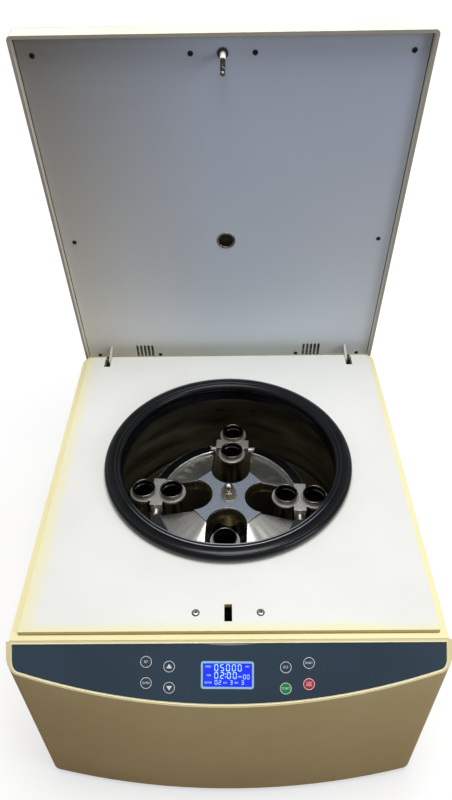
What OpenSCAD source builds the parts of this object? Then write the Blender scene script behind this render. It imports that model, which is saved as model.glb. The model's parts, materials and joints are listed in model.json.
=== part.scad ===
// Benchtop butterfat centrifuge with a swing-out rotor, drawn with its lid open.
// Lengths are millimetres. X points right, Y away from the user and Z up.
// Places in plan are measured from the rotor axis; heights from the table.

/* [Deck] */
// Width of the raised deck plate
deck_w = 480; // [470:1:490]
// Distance from the rotor axis to the front edge of the deck plate
deck_front = 264; // [258:1:270]
// Distance from the rotor axis to the back edge of the deck plate
deck_back = 248; // [244:1:252]
// Height of the deck surface above the table
deck_h = 325; // [320:1:335]
// Thickness of the deck plate
deck_t = 6; // [4:0.5:8]
// Width of the cabinet ledge that shows beside and behind the deck plate
ledge_w = 9; // [7:0.5:12]
// Width of the cabinet ledge in front of the deck plate
front_ledge = 7; // [5:0.5:8]
// Radius of the two back corners of the deck plate
deck_r = 14; // [8:1:20]

/* [Cabinet] */
// Sheet thickness of the cabinet sides and back
wall_t = 2; // [1.5:0.5:3]
// Thickness of the cabinet top under the deck plate
top_t = 4; // [3:0.5:5]
// Radius of the back corners of the cabinet
cabinet_r = 16; // [10:1:24]
// Height of the rubber feet
foot_h = 10; // [8:1:14]
// Radius of the rubber feet
foot_r = 18; // [14:1:22]
// Thickness of the base pan
pan_t = 3; // [2:0.5:4]
// Distance of the feet from the sides of the cabinet
foot_side = 49; // [30:1:70]
// Distance of the back feet from the back of the cabinet
foot_back = 57; // [30:1:80]
// Distance of the front feet from the front edge of the ledge
foot_front = 31; // [24:1:60]
// Number of cooling slots in each row of the back wall
vent_count = 12; // [6:1:14]

/* [Fascia] */
// Distance that the bowed fascia reaches beyond each side of the cabinet
fascia_side = 3.5; // [1:0.5:7]
// Distance that the middle of the fascia reaches in front of the deck plate
fascia_reach = 58; // [54:1:62]
// Radius of the bow of the front
bow_r = 1150; // [1000:10:1400]
// Radius of the two front corners
fascia_r = 15; // [12:1:18]
// Wall of the moulded fascia
fascia_t = 4; // [3:0.5:5]
// Slope of the control panel from level
slope = 48; // [44:1:52]
// Width of the moulded rim beside and below the control panel
rim_w = 6.5; // [5:0.5:8]
// Width in plan of the cream rim in front of the panel
rim_front = 2.8; // [2.2:0.2:4]
// Width of the moulded lip above the control panel
lip_w = 3; // [2:0.5:4]
// Thickness of the control panel plate
panel_t = 1.5; // [1:0.1:2]
// Depth of the panel face below the moulded rim
panel_sink = 1; // [0.6:0.1:1.4]

/* [Keys and display] */
// Radius of a key
key_r = 6.8; // [6:0.1:7.4]
// Travel of a key
key_travel = 0.6; // [0.4:0.1:0.8]
// Play round a key
key_gap = 0.3; // [0.2:0.05:0.4]
// Distance of the inner key columns from the middle of the display
key_in_x = 66; // [60:1:70]
// Distance of the outer key columns from the middle of the display
key_out_x = 92.2; // [88:0.2:98]
// Distance down the slope to the upper key of an inner column
key_in_s = 29.8; // [27:0.1:33]
// Distance down the slope to the upper key of an outer column
key_out_s = 24.7; // [22:0.1:28]
// Distance between the two keys of a column
key_pitch = 23.8; // [20:0.1:26]
// Width of the display with its light border
lcd_w = 60; // [54:1:66]
// Height of the display with its light border
lcd_h = 31; // [27:1:33]
// Width of the light border round the display
lcd_border = 2.2; // [1.6:0.1:3]
// Distance down the slope to the middle of the display
lcd_s = 38.8; // [36:0.2:42]
// Distance of the display to the left of the middle of the machine
pattern_x = 1.4; // [0:0.1:3]
// Turn of the keys and the display on the slope
pattern_turn = 0.7; // [0:0.1:1]

/* [Chamber] */
// Radius of the round mouth in the deck plate
mouth_r = 158; // [152:1:160]
// Gap between the swung-out tubes and the wall of the bowl
bowl_clear = 9; // [6:0.5:11]
// Sheet thickness of the bowl
bowl_t = 1.5; // [1:0.1:2]
// Height of the bowl floor above the table
floor_h = 160; // [150:1:164]
// Radius of the two bends of the bowl wall
bowl_bend = 5; // [3:1:8]
// Reach of the rubber gasket inside the mouth
gasket_lap = 7; // [5:0.5:12]
// Radial width of the rubber gasket
gasket_w = 24; // [20:0.5:28]
// Height of the gasket above the deck
gasket_h = 16; // [12:0.5:18]
// Depth of the gasket skirt below the deck
skirt_d = 14; // [8:0.5:16]
// Gap between the bowl and the guard ring round it
guard_gap = 3; // [2:0.5:4]
// Wall of the guard ring
guard_t = 4; // [3:0.5:6]

/* [Rotor] */
// Angle at which the rotor is parked
rotor_turn = -3.4; // [-10:0.1:10]
// Radius of the rotor rim
rotor_r = 120.5; // [118:0.5:124]
// Radial width of the rotor rim
rotor_rim = 16.5; // [15.5:0.5:20]
// Height of the top of the hub plate above the bowl floor
hub_rise = 91; // [88:1:100]
// Thickness of the hub plate
hub_t = 3; // [2:0.5:4]
// Distance from the axis to the straight edges of the hub plate
hub_edge = 56; // [50:1:62]
// Width of the four rotor slots
slot_w = 60; // [56:1:62]
// Distance from the axis to the round end of a slot
slot_in = 24.3; // [23.5:0.1:27]
// Radius of the drive spindle
spindle_r = 8; // [6:0.5:10]
// Running play round spindles and pins
play = 0.05; // [0.02:0.01:0.09]

/* [Buckets] */
// Distance of the trunnion axes inside the edge of the rotor
swing_inset = 13.5; // [11:0.5:14.5]
// Depth of the trunnion axes below the top of the hub plate
swing_drop = 10; // [9:0.5:13]
// Radius of a trunnion pin
pin_r = 4; // [3:0.5:4.5]
// Outer radius of a tube sleeve
tube_r = 16.8; // [14:0.2:17.4]
// Wall of a tube sleeve
tube_t = 1.5; // [1:0.1:2]
// Depth of a tube sleeve below its trunnion axis
tube_below = 70; // [60:1:72]
// Height of a tube rim above its trunnion axis
tube_above = 21; // [18:1:24]
// Distance between the two tubes of a bucket
tube_pitch = 42; // [40:0.5:44]
// Width of a bucket across its ears
ear_span = 52; // [50:1:54]

/* [Lid] */
// Angle between the open and the closed lid
lid_open = 81.4; // [75:0.1:88]
// Distance of the hinge axis behind the back edge of the deck plate
hinge_behind = 2; // [0:0.5:4]
// Depth of the hinge axis below the deck surface
hinge_drop = 8.7; // [7:0.1:10]
// Radius of the hinge pins
hinge_r = 4; // [3:0.5:5]
// Wall of the lid shell
lid_t = 4; // [3:0.5:5]
// Height of the closed lid from rim to crown
lid_h = 38; // [34:1:44]
// Depth of the liner face inside the lid rim
lid_recess = 10; // [7:0.5:12]
// Radius of the long edges of the lid crown
crown_r = 18; // [12:1:22]
// Gap between the closed liner and the gasket
lid_gap = 0.3; // [0.2:0.1:1]
// Distance that the lid reaches behind the hinge axis
lid_tail = 26.5; // [24:0.5:30]
// Sheet thickness of the lid liner
liner_t = 1.5; // [1:0.5:3]
// Outer radius of the sight tube through the lid
sight_r = 13; // [10:0.5:16]
// Distance of the hinge arms from the sides of the cabinet
arm_inset = 46.5; // [43:0.5:51]
// Thickness of the hinge arms
arm_t = 3.5; // [3:0.5:4.5]

/* [Latch] */
// Distance of the striker pin from the front edge of the deck plate
striker_in = 18.5; // [17:0.5:20]
// Radius of the striker pin
striker_r = 3; // [2.5:0.1:3.2]
// Length of the striker pin below the liner
striker_len = 58; // [50:1:62]
// Width of the latch slot in the deck plate
slot_x = 9; // [8.5:0.5:12]
// Length of the latch slot in the deck plate
slot_y = 22; // [21:0.5:26]
// Travel of the latch bolt
bolt_travel = 10; // [9:0.5:12]

/* [Hidden] */
$fn = 96;

cream = [0.95, 0.91, 0.72];
off_white = [0.90, 0.90, 0.87];
steel = [0.75, 0.76, 0.77];
dark_steel = [0.35, 0.35, 0.36];
black = [0.08, 0.08, 0.09];
slate = [0.18, 0.25, 0.33];
liner_grey = [0.50, 0.54, 0.59];
board_green = [0.10, 0.35, 0.20];

through = 1;
body_half = deck_w / 2 + ledge_w;
body_back = deck_back + ledge_w;
body_front = deck_front + front_ledge;
body_bottom = foot_h + pan_t;
top_z = deck_h - deck_t;
top_under = top_z - top_t;
fascia_w = 2 * (body_half + fascia_side);
fascia_front = deck_front + fascia_reach;
hinge_back = deck_back + hinge_behind;
arm_x = body_half - arm_inset;
striker_y = deck_front - striker_in;

// The fascia slope starts a little below the front edge of the ledge.
slope_drop = 1.8;
slope_y = -body_front - 0.7;
slope_z = top_z - slope_drop;
bow_centre = bow_r - fascia_front;

hinge_z = deck_h - hinge_drop;
liner_z = deck_h + gasket_h + lid_gap;
lid_rim_z = liner_z - lid_recess;
lid_top_z = lid_rim_z + lid_h;
lid_half = body_half;
lid_front = body_front + 0.7;
lid_back = hinge_back + lid_tail;
lid_front_r = 6;

hub_h = floor_h + hub_rise;
swing_h = hub_h - swing_drop;
swing_r = rotor_r - swing_inset;
bowl_r = swing_r + tube_below + bowl_clear;
gasket_in = mouth_r - gasket_lap;
gasket_out = gasket_in + gasket_w;

slot_c = slot_in + slot_w / 2;
rim_in = rotor_r - rotor_rim;
rim_rise = 0.5;
rim_top = swing_h + rim_rise;
rotor_h = 27.5;
rotor_bottom = rim_top - rotor_h;
boss_gap = 2.3;
boss_r = slot_in - boss_gap;
boss_long = 46;
boss_h = hub_h - boss_long;
web_h = 22;
web_under = hub_h - web_h;
dish_d = 7;
web_flange = 4;
web_slope = 3;
cradle_end = 10;
thread_r = spindle_r - 3;
dampers_r = 92;
damper_r = 15;
damper_h = 24;
damper_neck_r = 12;
damper_flange = 9;
mount_z = floor_h - 20;
mount_t = 6;
motor_r = 65;
motor_top = mount_z;
motor_bottom = body_bottom + 25;
bearing_r = 20;
bearing_h = 10;
bearing_in = 5;
core_r = 38;
core_gap = 2;
core_end = 3;

plate_t = 4;
plate_z = 9;
ring_r = tube_pitch / 2;
// A collar takes a little over half of the land between the two tubes of a bucket.
collar_r = tube_r + 0.524 * (ring_r - tube_r);
collar_t = 1.5;
lug_half = 8;

pin_proud = 1;
bracket_gap = 1.5;
notch_out = arm_x + arm_t / 2 + bracket_gap + 4;
notch_in = arm_x - arm_t / 2 - pin_proud - 0.2;
notch_d = 25.5;
boss_arm_r = 8;

inlet_side = 99;
inlet_x = inlet_side - body_half;
inlet_z = 75;
switch_pitch = 54;
switch_x = inlet_x + switch_pitch;
rocker_tilt = 8;

// The box round the whole open machine is centred on the origin in plan.
reach_back = hinge_back + (lid_back - crown_r - hinge_back) * cos(lid_open)
    + (lid_top_z - crown_r - hinge_z) * sin(lid_open) + crown_r;
frame_y = (fascia_front - reach_back) / 2;

module in_frame() {
    translate([0, frame_y, 0]) children();
}

module mirrored_x() {
    children();
    mirror([1, 0, 0]) children();
}

// Everything on the lid is drawn closed and turned up about the hinge axis.
module on_lid() {
    in_frame() translate([0, hinge_back, hinge_z]) rotate([-lid_open, 0, 0])
        translate([0, -hinge_back, -hinge_z]) children();
}

module on_slope() {
    in_frame() translate([0, slope_y, slope_z]) rotate([slope, 0, 0]) children();
}

module on_pattern() {
    on_slope() translate([-pattern_x, -lcd_s, 0]) rotate(-pattern_turn) children();
}

module on_rotor() {
    in_frame() rotate([0, 0, rotor_turn]) children();
}

module on_bucket(turn) {
    on_rotor() rotate([0, 0, turn]) translate([swing_r, 0, swing_h]) children();
}

module box(size, at = [0, 0, 0]) {
    translate(at) translate([-size[0] / 2, -size[1] / 2, 0]) cube(size);
}

module tube(r_out, r_in, h) {
    difference() {
        cylinder(r = r_out, h = h);
        translate([0, 0, -through]) cylinder(r = r_in, h = h + 2 * through);
    }
}

// A long slot with round ends, along Y and centred.
module slot_2d(w, length) {
    square([w, length - w], center = true);
    for (side = [-1, 1]) translate([0, side * (length - w) / 2]) circle(d = w);
}

// A plan outline from y0 to y1 with its own radius at the front and at the back.
module plan_2d(half, y0, y1, r0, r1) {
    translate([-half, y0 + r0]) square([2 * half, y1 - r1 - y0 - r0]);
    translate([-half + r0, y0]) square([2 * (half - r0), r0 + 0.01]);
    translate([-half + r1, y1 - r1 - 0.01]) square([2 * (half - r1), r1 + 0.01]);
    for (side = [-1, 1]) {
        translate([side * (half - r0), y0 + r0]) circle(r = r0);
        translate([side * (half - r1), y1 - r1]) circle(r = r1);
    }
}

// A section with square feet and two round shoulders.
module shoulder_2d(half, h, r) {
    translate([-half, 0]) square([2 * half, h - r]);
    translate([-half + r, 0]) square([2 * (half - r), h]);
    for (side = [-1, 1]) translate([side * (half - r), h - r]) circle(r = r);
}

// The bowed front in plan, drawn in by inset at the bow and by side at the ends, and cut off at y = back.
module front_2d(inset, back, side = undef) {
    half = fascia_w / 2 - (is_undef(side) ? inset : side);
    r = fascia_r - (is_undef(side) ? inset : side);
    big = bow_r - inset;
    corner_x = half - r;
    corner_y = bow_centre - sqrt(pow(big - r, 2) - pow(corner_x, 2));
    reach = 60;
    lean = asin(corner_x / (big - r));
    difference() {
        intersection() {
            translate([0, bow_centre]) circle(r = big, $fn = 360);
            translate([-half, -fascia_front - reach]) square([2 * half, fascia_front + reach + back]);
        }
        for (side = [0, 1]) mirror([side, 0]) difference() {
            polygon([[corner_x, corner_y], [half + reach, corner_y], [half + reach, corner_y - reach],
                [corner_x + reach * sin(lean), corner_y - reach * cos(lean)]]);
            translate([corner_x, corner_y]) circle(r = r);
        }
    }
}

module body_2d(inset) {
    front_2d(inset, -body_front);
    plan_2d(body_half - inset, -body_front - 0.01, body_back - inset, 0.01, cabinet_r - inset);
}

module below_slope(depth) {
    translate([0, slope_y, slope_z]) rotate([slope, 0, 0])
        translate([-fascia_w, -1.5 * deck_h, -depth]) cube([2 * fascia_w, 2 * deck_h, deck_h]);
}

// Base

foot_places = [for (x = [-1, 1], y = [body_back - foot_back, foot_front - body_front])
    [x * (body_half - foot_side), y]];
foot_screw_r = 3;

module base_pan() {
    flange_h = 12;
    flange_in = wall_t + 0.4;
    slot_rows = [-60, -30, 0, 30, 60];
    color(dark_steel) in_frame() difference() {
        union() {
            translate([0, 0, foot_h]) linear_extrude(pan_t) body_2d(1);
            translate([0, 0, foot_h + pan_t]) linear_extrude(flange_h) difference() {
                plan_2d(body_half - flange_in, -body_front + 10, body_back - flange_in, 1,
                    cabinet_r - flange_in);
                plan_2d(body_half - flange_in - 2, -body_front + 12, body_back - flange_in - 2, 1,
                    cabinet_r - flange_in - 2);
            }
        }
        for (place = foot_places) translate([place[0], place[1], foot_h - through])
            cylinder(r = foot_screw_r, h = pan_t + 2 * through);
        for (y = slot_rows) translate([0, y, foot_h - through]) linear_extrude(pan_t + 2 * through)
            rotate(90) slot_2d(6, 44);
    }
}

module rubber_feet() {
    color(black) in_frame() for (place = foot_places) translate([place[0], place[1], 0]) difference() {
        union() {
            cylinder(r1 = foot_r - 2, r2 = foot_r, h = foot_h);
            cylinder(r = foot_screw_r - play, h = foot_h + pan_t);
        }
        translate([0, 0, -through]) cylinder(r = foot_r / 2.5, h = foot_h / 2 + through);
    }
}

// Cabinet

module arm_notches(floor_z) {
    mirrored_x() translate([notch_in, deck_back - notch_d, floor_z])
        cube([notch_out - notch_in, notch_d + 60, deck_h]);
}

// The striker goes into the front half of the latch slot.
striker_lead = 4.5;
latch_y = -striker_y + striker_lead;

module latch_opening(grow, z, h) {
    box([slot_x + grow, slot_y + grow, h], [0, latch_y, z]);
}

vent_z = 200;
vent_pitch = 14;
vent_rows = [0, 44];

module back_vents() {
    for (row = vent_rows, i = [0:vent_count - 1])
        translate([(i - (vent_count - 1) / 2) * vent_pitch, body_back, vent_z + row])
            rotate([90, 0, 0]) translate([0, 0, -through]) linear_extrude(wall_t + 2 * through)
                slot_2d(5, 34);
}

inlet_w = 30;
inlet_h = 24;
switch_w = 20;
switch_h = 27;

module cabinet_shell() {
    h = top_under - body_bottom;
    color(cream) in_frame() difference() {
        translate([0, 0, body_bottom]) linear_extrude(h)
            plan_2d(body_half, -body_front, body_back, 0.5, cabinet_r);
        translate([0, 0, body_bottom - through]) linear_extrude(h + 2 * through)
            plan_2d(body_half - wall_t, -body_front - 10 * wall_t,
                body_back - wall_t, 0.5, cabinet_r - wall_t);
        arm_notches(hinge_z - 2 * boss_arm_r);
        back_vents();
        translate([inlet_x, body_back, inlet_z]) cube([inlet_w, 10 * wall_t, inlet_h], center = true);
        translate([switch_x, body_back, inlet_z]) cube([switch_w, 10 * wall_t, switch_h], center = true);
    }
}

// Gap round the neck of the bowl
neck_gap = 0.3;

// The top of the cabinet is a plate on its walls, and its edge is the ledge round the deck.
module cabinet_top() {
    h = top_t + 2 * through;
    color(cream) in_frame() difference() {
        translate([0, 0, top_under]) linear_extrude(top_t)
            plan_2d(body_half, -body_front, body_back, 0.5, cabinet_r);
        translate([0, 0, top_under - through]) cylinder(r = mouth_r + bowl_t + neck_gap, h = h);
        latch_opening(4, top_under - through, h);
        arm_notches(top_under - through);
        for (side = [-1, 1]) translate([side * screw_x, screw_y, top_under - through])
            cylinder(r = screw_hole_r, h = h);
    }
}

screw_x = 37.7;
screw_y = latch_y;
screw_hole_r = 2.1;

module deck_plate() {
    color(off_white) in_frame() difference() {
        translate([0, 0, top_z]) linear_extrude(deck_t)
            plan_2d(deck_w / 2, -deck_front, deck_back, 2, deck_r);
        translate([0, 0, top_z - through]) cylinder(r = mouth_r, h = deck_t + 2 * through);
        latch_opening(0, top_z - through, deck_t + 2 * through);
        arm_notches(top_z - through);
        for (side = [-1, 1]) translate([side * screw_x, screw_y, top_z - through])
            cylinder(r = screw_hole_r, h = deck_t + 2 * through);
    }
}

module cross_screw(r, head_h, shank_r, shank_l) {
    difference() {
        union() {
            cylinder(r = r, h = head_h);
            translate([0, 0, -shank_l]) cylinder(r = shank_r, h = shank_l);
        }
        for (turn = [0, 90]) rotate(turn) translate([0, 0, head_h - 0.6])
            box([r * 1.3, 0.8, 1]);
    }
}

module deck_screws() {
    color(steel) in_frame() for (side = [-1, 1]) translate([side * screw_x, screw_y, deck_h])
        cross_screw(3.6, 1.6, screw_hole_r - play, deck_t + top_t + 3);
}

// Fascia and controls

panel_floor = panel_sink + panel_t;
fascia_under = panel_floor + fascia_t;

out_y = lcd_s - key_out_s;
in_y = lcd_s - key_in_s;
key_places = [[-key_out_x, out_y], [-key_out_x, out_y - key_pitch],
    [-key_in_x, in_y], [-key_in_x, in_y - key_pitch],
    [key_in_x, in_y], [key_in_x, in_y - key_pitch],
    [key_out_x, out_y], [key_out_x, out_y - key_pitch]];

module panel_space(inset, low, high) {
    intersection() {
        in_frame() translate([0, 0, -through]) linear_extrude(deck_h)
            front_2d(rim_front + inset, -body_front + 5, rim_w + inset);
        on_slope() translate([-fascia_w / 2, -deck_h, low])
            cube([fascia_w, deck_h - lip_w - inset, high - low]);
    }
}

module front_fascia() {
    foot_rib = 8;
    color(cream) difference() {
        in_frame() difference() {
            intersection() {
                translate([0, 0, body_bottom]) linear_extrude(deck_h) front_2d(0, -body_front);
                below_slope(deck_h);
            }
            intersection() {
                translate([0, 0, body_bottom - through]) linear_extrude(deck_h)
                    front_2d(fascia_t, -body_front + through);
                below_slope(deck_h + fascia_under);
            }
        }
        panel_space(0, -panel_floor, 5);
        on_pattern() {
            for (place = key_places) translate([place[0], place[1], -fascia_under - through])
                cylinder(r = key_r + key_gap, h = fascia_under);
            translate([0, 0, -fascia_under - through]) box([lcd_w - 2, lcd_h - 2, fascia_under]);
        }
    }
}

panel_play = 0.2;

module control_panel() {
    color(slate) difference() {
        panel_space(panel_play, -panel_floor, -panel_sink);
        on_pattern() {
            for (place = key_places) translate([place[0], place[1], -panel_floor - through])
                cylinder(r = key_r + key_gap, h = panel_t + 2 * through);
            translate([0, 0, -panel_floor - through])
                box([lcd_w - 2 * lcd_border, lcd_h - 2 * lcd_border, panel_t + 2 * through]);
        }
    }
}

frame_rise = 0.6;

module display_frame() {
    color([0.75, 0.9, 1]) on_pattern() translate([0, 0, -panel_sink]) linear_extrude(frame_rise)
        difference() {
            union() {
                square([lcd_w, lcd_h - 6], center = true);
                square([lcd_w - 6, lcd_h], center = true);
                for (x = [-1, 1], y = [-1, 1])
                    translate([x * (lcd_w / 2 - 3), y * (lcd_h / 2 - 3)]) circle(r = 3);
            }
            square([lcd_w - 2 * lcd_border, lcd_h - 2 * lcd_border], center = true);
        }
}

module display_glass() {
    glass_w = lcd_w - 2 * lcd_border - 2 * panel_play;
    glass_h = lcd_h - 2 * lcd_border - 2 * panel_play;
    back = fascia_under + 1.5;
    color([0.1, 0.25, 1]) on_pattern() translate([0, 0, -back])
        box([glass_w, glass_h, back - panel_sink - 0.2]);
}

key_rise = 0.3;
stem_r = 3;
stem_end = fascia_under + 0.5;
board_t = 1.6;
dome_h = 1.6;
board_top = stem_end + key_travel + 0.2 + dome_h;

module key(index, tint) {
    place = key_places[index];
    color(tint) on_pattern() translate([place[0], place[1], 0]) {
        translate([0, 0, -panel_floor]) cylinder(r = key_r, h = panel_t + key_rise);
        translate([0, 0, -stem_end]) cylinder(r = stem_r, h = stem_end - panel_floor + 0.01);
    }
}

module set_key() { key(0, slate); }
module enter_key() { key(1, slate); }
module up_key() { key(2, slate); }
module down_key() { key(3, slate); }
module force_key() { key(4, slate); }
module start_key() { key(5, [0.05, 0.65, 0.25]); }
module short_key() { key(6, slate); }
module stop_key() { key(7, [0.85, 0.1, 0.15]); }

module keypad_board() {
    post_x = key_out_x + key_r + 6;
    board_w = 2 * post_x + 8;
    board_mid = (out_y + in_y - key_pitch) / 2;
    board_d = key_pitch + 2 * key_r + 12;
    color(board_green) on_pattern() difference() {
        union() {
            translate([0, board_mid, -board_top - board_t]) box([board_w, board_d, board_t]);
            for (place = key_places) translate([place[0], place[1], -board_top]) cylinder(r = 4, h = dome_h);
            for (x = [-1, 1]) translate([x * post_x, board_mid, -board_top])
                cylinder(r = 3, h = board_top - fascia_under);
        }
        translate([0, 0, -board_top - board_t - through]) box([20, 8, board_t + 2 * through]);
    }
}

// Chamber

roof_z = top_under - bowl_t - 1.5;

// Section of the bowl between its floor and its roof, grown outwards by t.
module bowl_2d(t) {
    difference() {
        union() {
            translate([0, floor_h - t]) square([bowl_r - bowl_bend, roof_z - floor_h + 2 * t]);
            translate([0, floor_h + bowl_bend]) square([bowl_r + t, roof_z - floor_h - 2 * bowl_bend]);
            for (z = [floor_h + bowl_bend, roof_z - bowl_bend])
                translate([bowl_r - bowl_bend, z]) circle(r = bowl_bend + t);
        }
        translate([-bowl_r, 0]) square([bowl_r, deck_h]);
    }
}

seal_hole_r = 24;

module chamber_bowl() {
    color(steel) in_frame() difference() {
        union() {
            rotate_extrude($fn = 180) bowl_2d(bowl_t);
            translate([0, 0, roof_z]) cylinder(r = mouth_r + bowl_t, h = top_z - roof_z);
        }
        rotate_extrude($fn = 180) bowl_2d(0);
        translate([0, 0, roof_z - through]) cylinder(r = mouth_r, h = top_z - roof_z + 2 * through);
        translate([0, 0, floor_h - bowl_t - through]) cylinder(r = seal_hole_r, h = bowl_t + 2 * through);
    }
}

module gasket_2d() {
    mid = (gasket_in + gasket_out) / 2;
    half = (gasket_out - gasket_in) / 2;
    bead = min(half, gasket_h) * 0.75;
    translate([gasket_in + 1, deck_h]) square([2 * half - 2, gasket_h - bead]);
    translate([mid - half + bead, deck_h]) square([2 * (half - bead), gasket_h]);
    for (side = [-1, 1]) translate([mid + side * (half - bead), deck_h + gasket_h - bead]) intersection() {
        circle(r = bead);
        translate([-bead, -gasket_h + bead]) square([2 * bead, gasket_h]);
    }
    translate([gasket_in + 1, deck_h - skirt_d]) square([mouth_r - 0.3 - gasket_in - 1, skirt_d + 0.01]);
}

module chamber_gasket() {
    color(black) in_frame() rotate_extrude($fn = 180) gasket_2d();
}

guard_in = bowl_r + bowl_t + guard_gap;

module guard_ring() {
    h = top_under - bowl_bend - body_bottom;
    window = guard_in / 5;
    color(dark_steel) in_frame() translate([0, 0, body_bottom]) difference() {
        tube(guard_in + guard_t, guard_in, h);
        for (turn = [45:90:315]) rotate(turn) translate([guard_in, 0, h / 7])
            box([window, window, 1.5 * window]);
    }
}

// Motor

module motor_stand() {
    ring_w = 16;
    post_top = mount_z - damper_h;
    color(dark_steel) in_frame() translate([0, 0, body_bottom]) {
        tube(dampers_r + ring_w, dampers_r - ring_w, 4);
        for (turn = [45:90:315]) rotate(turn) translate([dampers_r, 0, 3.9])
            cylinder(r = damper_neck_r - 1, h = post_top - body_bottom - 3.9);
    }
}

module vibration_dampers() {
    color(black) in_frame() for (turn = [45:90:315]) rotate(turn)
    translate([dampers_r, 0, mount_z - damper_h]) {
        for (z = [0, damper_h - damper_flange]) translate([0, 0, z])
            cylinder(r = damper_r, h = damper_flange);
        cylinder(r = damper_neck_r, h = damper_h);
    }
}

module motor_mount() {
    color(dark_steel) in_frame() translate([0, 0, mount_z]) difference() {
        cylinder(r = dampers_r + 1.2 * damper_r, h = mount_t);
        translate([0, 0, -through]) cylinder(r = 1.2 * bearing_r, h = mount_t + 2 * through);
        for (turn = [0:90:270]) rotate(turn) translate([motor_r, 0, -through])
            cylinder(r = 0.7 * bearing_r, h = mount_t + 2 * through);
    }
}

module motor_housing() {
    h = motor_top - motor_bottom;
    cavity = h - 2 * (bearing_h + bearing_in);
    color([0.25, 0.28, 0.3]) in_frame() translate([0, 0, motor_bottom]) difference() {
        union() {
            cylinder(r = motor_r, h = h);
            for (turn = [0:30:330]) rotate(turn) translate([motor_r - 2, -1.5, 12]) cube([7, 3, h - 24]);
        }
        translate([0, 0, (h - cavity) / 2]) cylinder(r = core_r + core_gap, h = cavity);
        translate([0, 0, -through]) cylinder(r = spindle_r + 2, h = h + 2 * through);
        for (z = [bearing_in, h - bearing_in - bearing_h]) translate([0, 0, z])
            cylinder(r = bearing_r, h = bearing_h);
    }
}

module motor_bearings() {
    color(steel) in_frame() for (z = [motor_bottom + bearing_in, motor_top - bearing_in - bearing_h])
        translate([0, 0, z]) tube(bearing_r, spindle_r + play, bearing_h);
}

module shaft_seal() {
    flange = 6;
    color(black) in_frame() rotate_extrude() polygon([[spindle_r + 4, mount_z + mount_t],
        [seal_hole_r + flange, mount_z + mount_t], [seal_hole_r + flange, mount_z + mount_t + 3],
        [seal_hole_r - play, floor_h - bowl_t - 3], [seal_hole_r - play, floor_h],
        [seal_hole_r + flange, floor_h], [seal_hole_r + flange - 2, floor_h + 3],
        [spindle_r + 4, floor_h + 6]]);
}

module drive_spindle() {
    color(steel) on_rotor() {
        translate([0, 0, motor_bottom + 3]) cylinder(r = spindle_r, h = hub_h - motor_bottom - 3);
        translate([0, 0, boss_h - 6]) cylinder(r = spindle_r + 6, h = 6);
        translate([0, 0, hub_h - 0.01]) cylinder(r = thread_r, h = nut_z + nut_h - hub_h + 4);
    }
}

module motor_core() {
    h = motor_top - motor_bottom - 2 * (bearing_h + bearing_in + core_end);
    color(dark_steel) on_rotor() translate([0, 0, (motor_top + motor_bottom - h) / 2])
        tube(core_r, spindle_r, h);
}

// Rotor

module slots_2d() {
    for (turn = [0:90:270]) rotate(turn) {
        translate([slot_c, 0]) circle(d = slot_w);
        translate([slot_c, -slot_w / 2]) square([rotor_r, slot_w]);
    }
}

module rotor_head() {
    chamfer = 1;
    web_top = hub_h - hub_t;
    dish = rim_top - dish_d;
    cradle = ear_span + 2 * cradle_end;
    color([0.62, 0.60, 0.57]) on_rotor() difference() {
        rotate_extrude($fn = 180) polygon([[spindle_r + play, boss_h], [boss_r, boss_h],
            [boss_r, web_under], [rim_in + web_flange, web_under - web_slope],
            [rim_in + web_flange, rotor_bottom],
            [rotor_r, rotor_bottom], [rotor_r, rim_top - chamfer], [rotor_r - chamfer, rim_top],
            [rim_in + chamfer, rim_top], [rim_in, rim_top - chamfer], [rim_in, dish],
            [hub_edge + 2, web_top], [spindle_r + play, web_top]]);
        translate([0, 0, rotor_bottom - through]) linear_extrude(hub_h) slots_2d();
        for (turn = [0:90:270]) rotate(turn) translate([swing_r, 0, swing_h]) rotate([90, 0, 0]) {
            cylinder(r = pin_r + play, h = cradle, center = true);
            translate([-pin_r - play, 0, -cradle / 2]) cube([2 * (pin_r + play), 2 * pin_r, cradle]);
        }
    }
}

module hub_plate() {
    color([0.45, 0.49, 0.54]) on_rotor() translate([0, 0, hub_h - hub_t]) linear_extrude(hub_t)
        difference() {
            rotate(45) square(2 * hub_edge, center = true);
            slots_2d();
            circle(r = spindle_r + play);
        }
}

washer_t = 2;
washer_r = 13;
nut_h = 12;
nut_flat = 19;
nut_z = hub_h + washer_t;
dome_r = 6.5;
dome_h_full = 12;

module rotor_washer() {
    color(steel) on_rotor() translate([0, 0, hub_h]) tube(washer_r, thread_r + play, washer_t);
}

module rotor_nut() {
    color([0.72, 0.66, 0.55]) on_rotor() translate([0, 0, nut_z]) difference() {
        cylinder(d = nut_flat / cos(30), h = nut_h, $fn = 6);
        translate([0, 0, -through]) cylinder(r = thread_r + play, h = nut_h + 2 * through);
    }
}

module dome_nut() {
    color(steel) on_rotor() translate([0, 0, nut_z + nut_h]) difference() {
        union() {
            cylinder(r = dome_r, h = dome_h_full - dome_r);
            translate([0, 0, dome_h_full - dome_r]) sphere(r = dome_r);
        }
        translate([0, 0, -2 * dome_r]) cylinder(r = 2 * dome_r, h = 2 * dome_r);
        translate([0, 0, -through]) cylinder(r = thread_r + play, h = 4 + through + play);
    }
}

// Buckets: the local X axis points away from the rotor axis.

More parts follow.
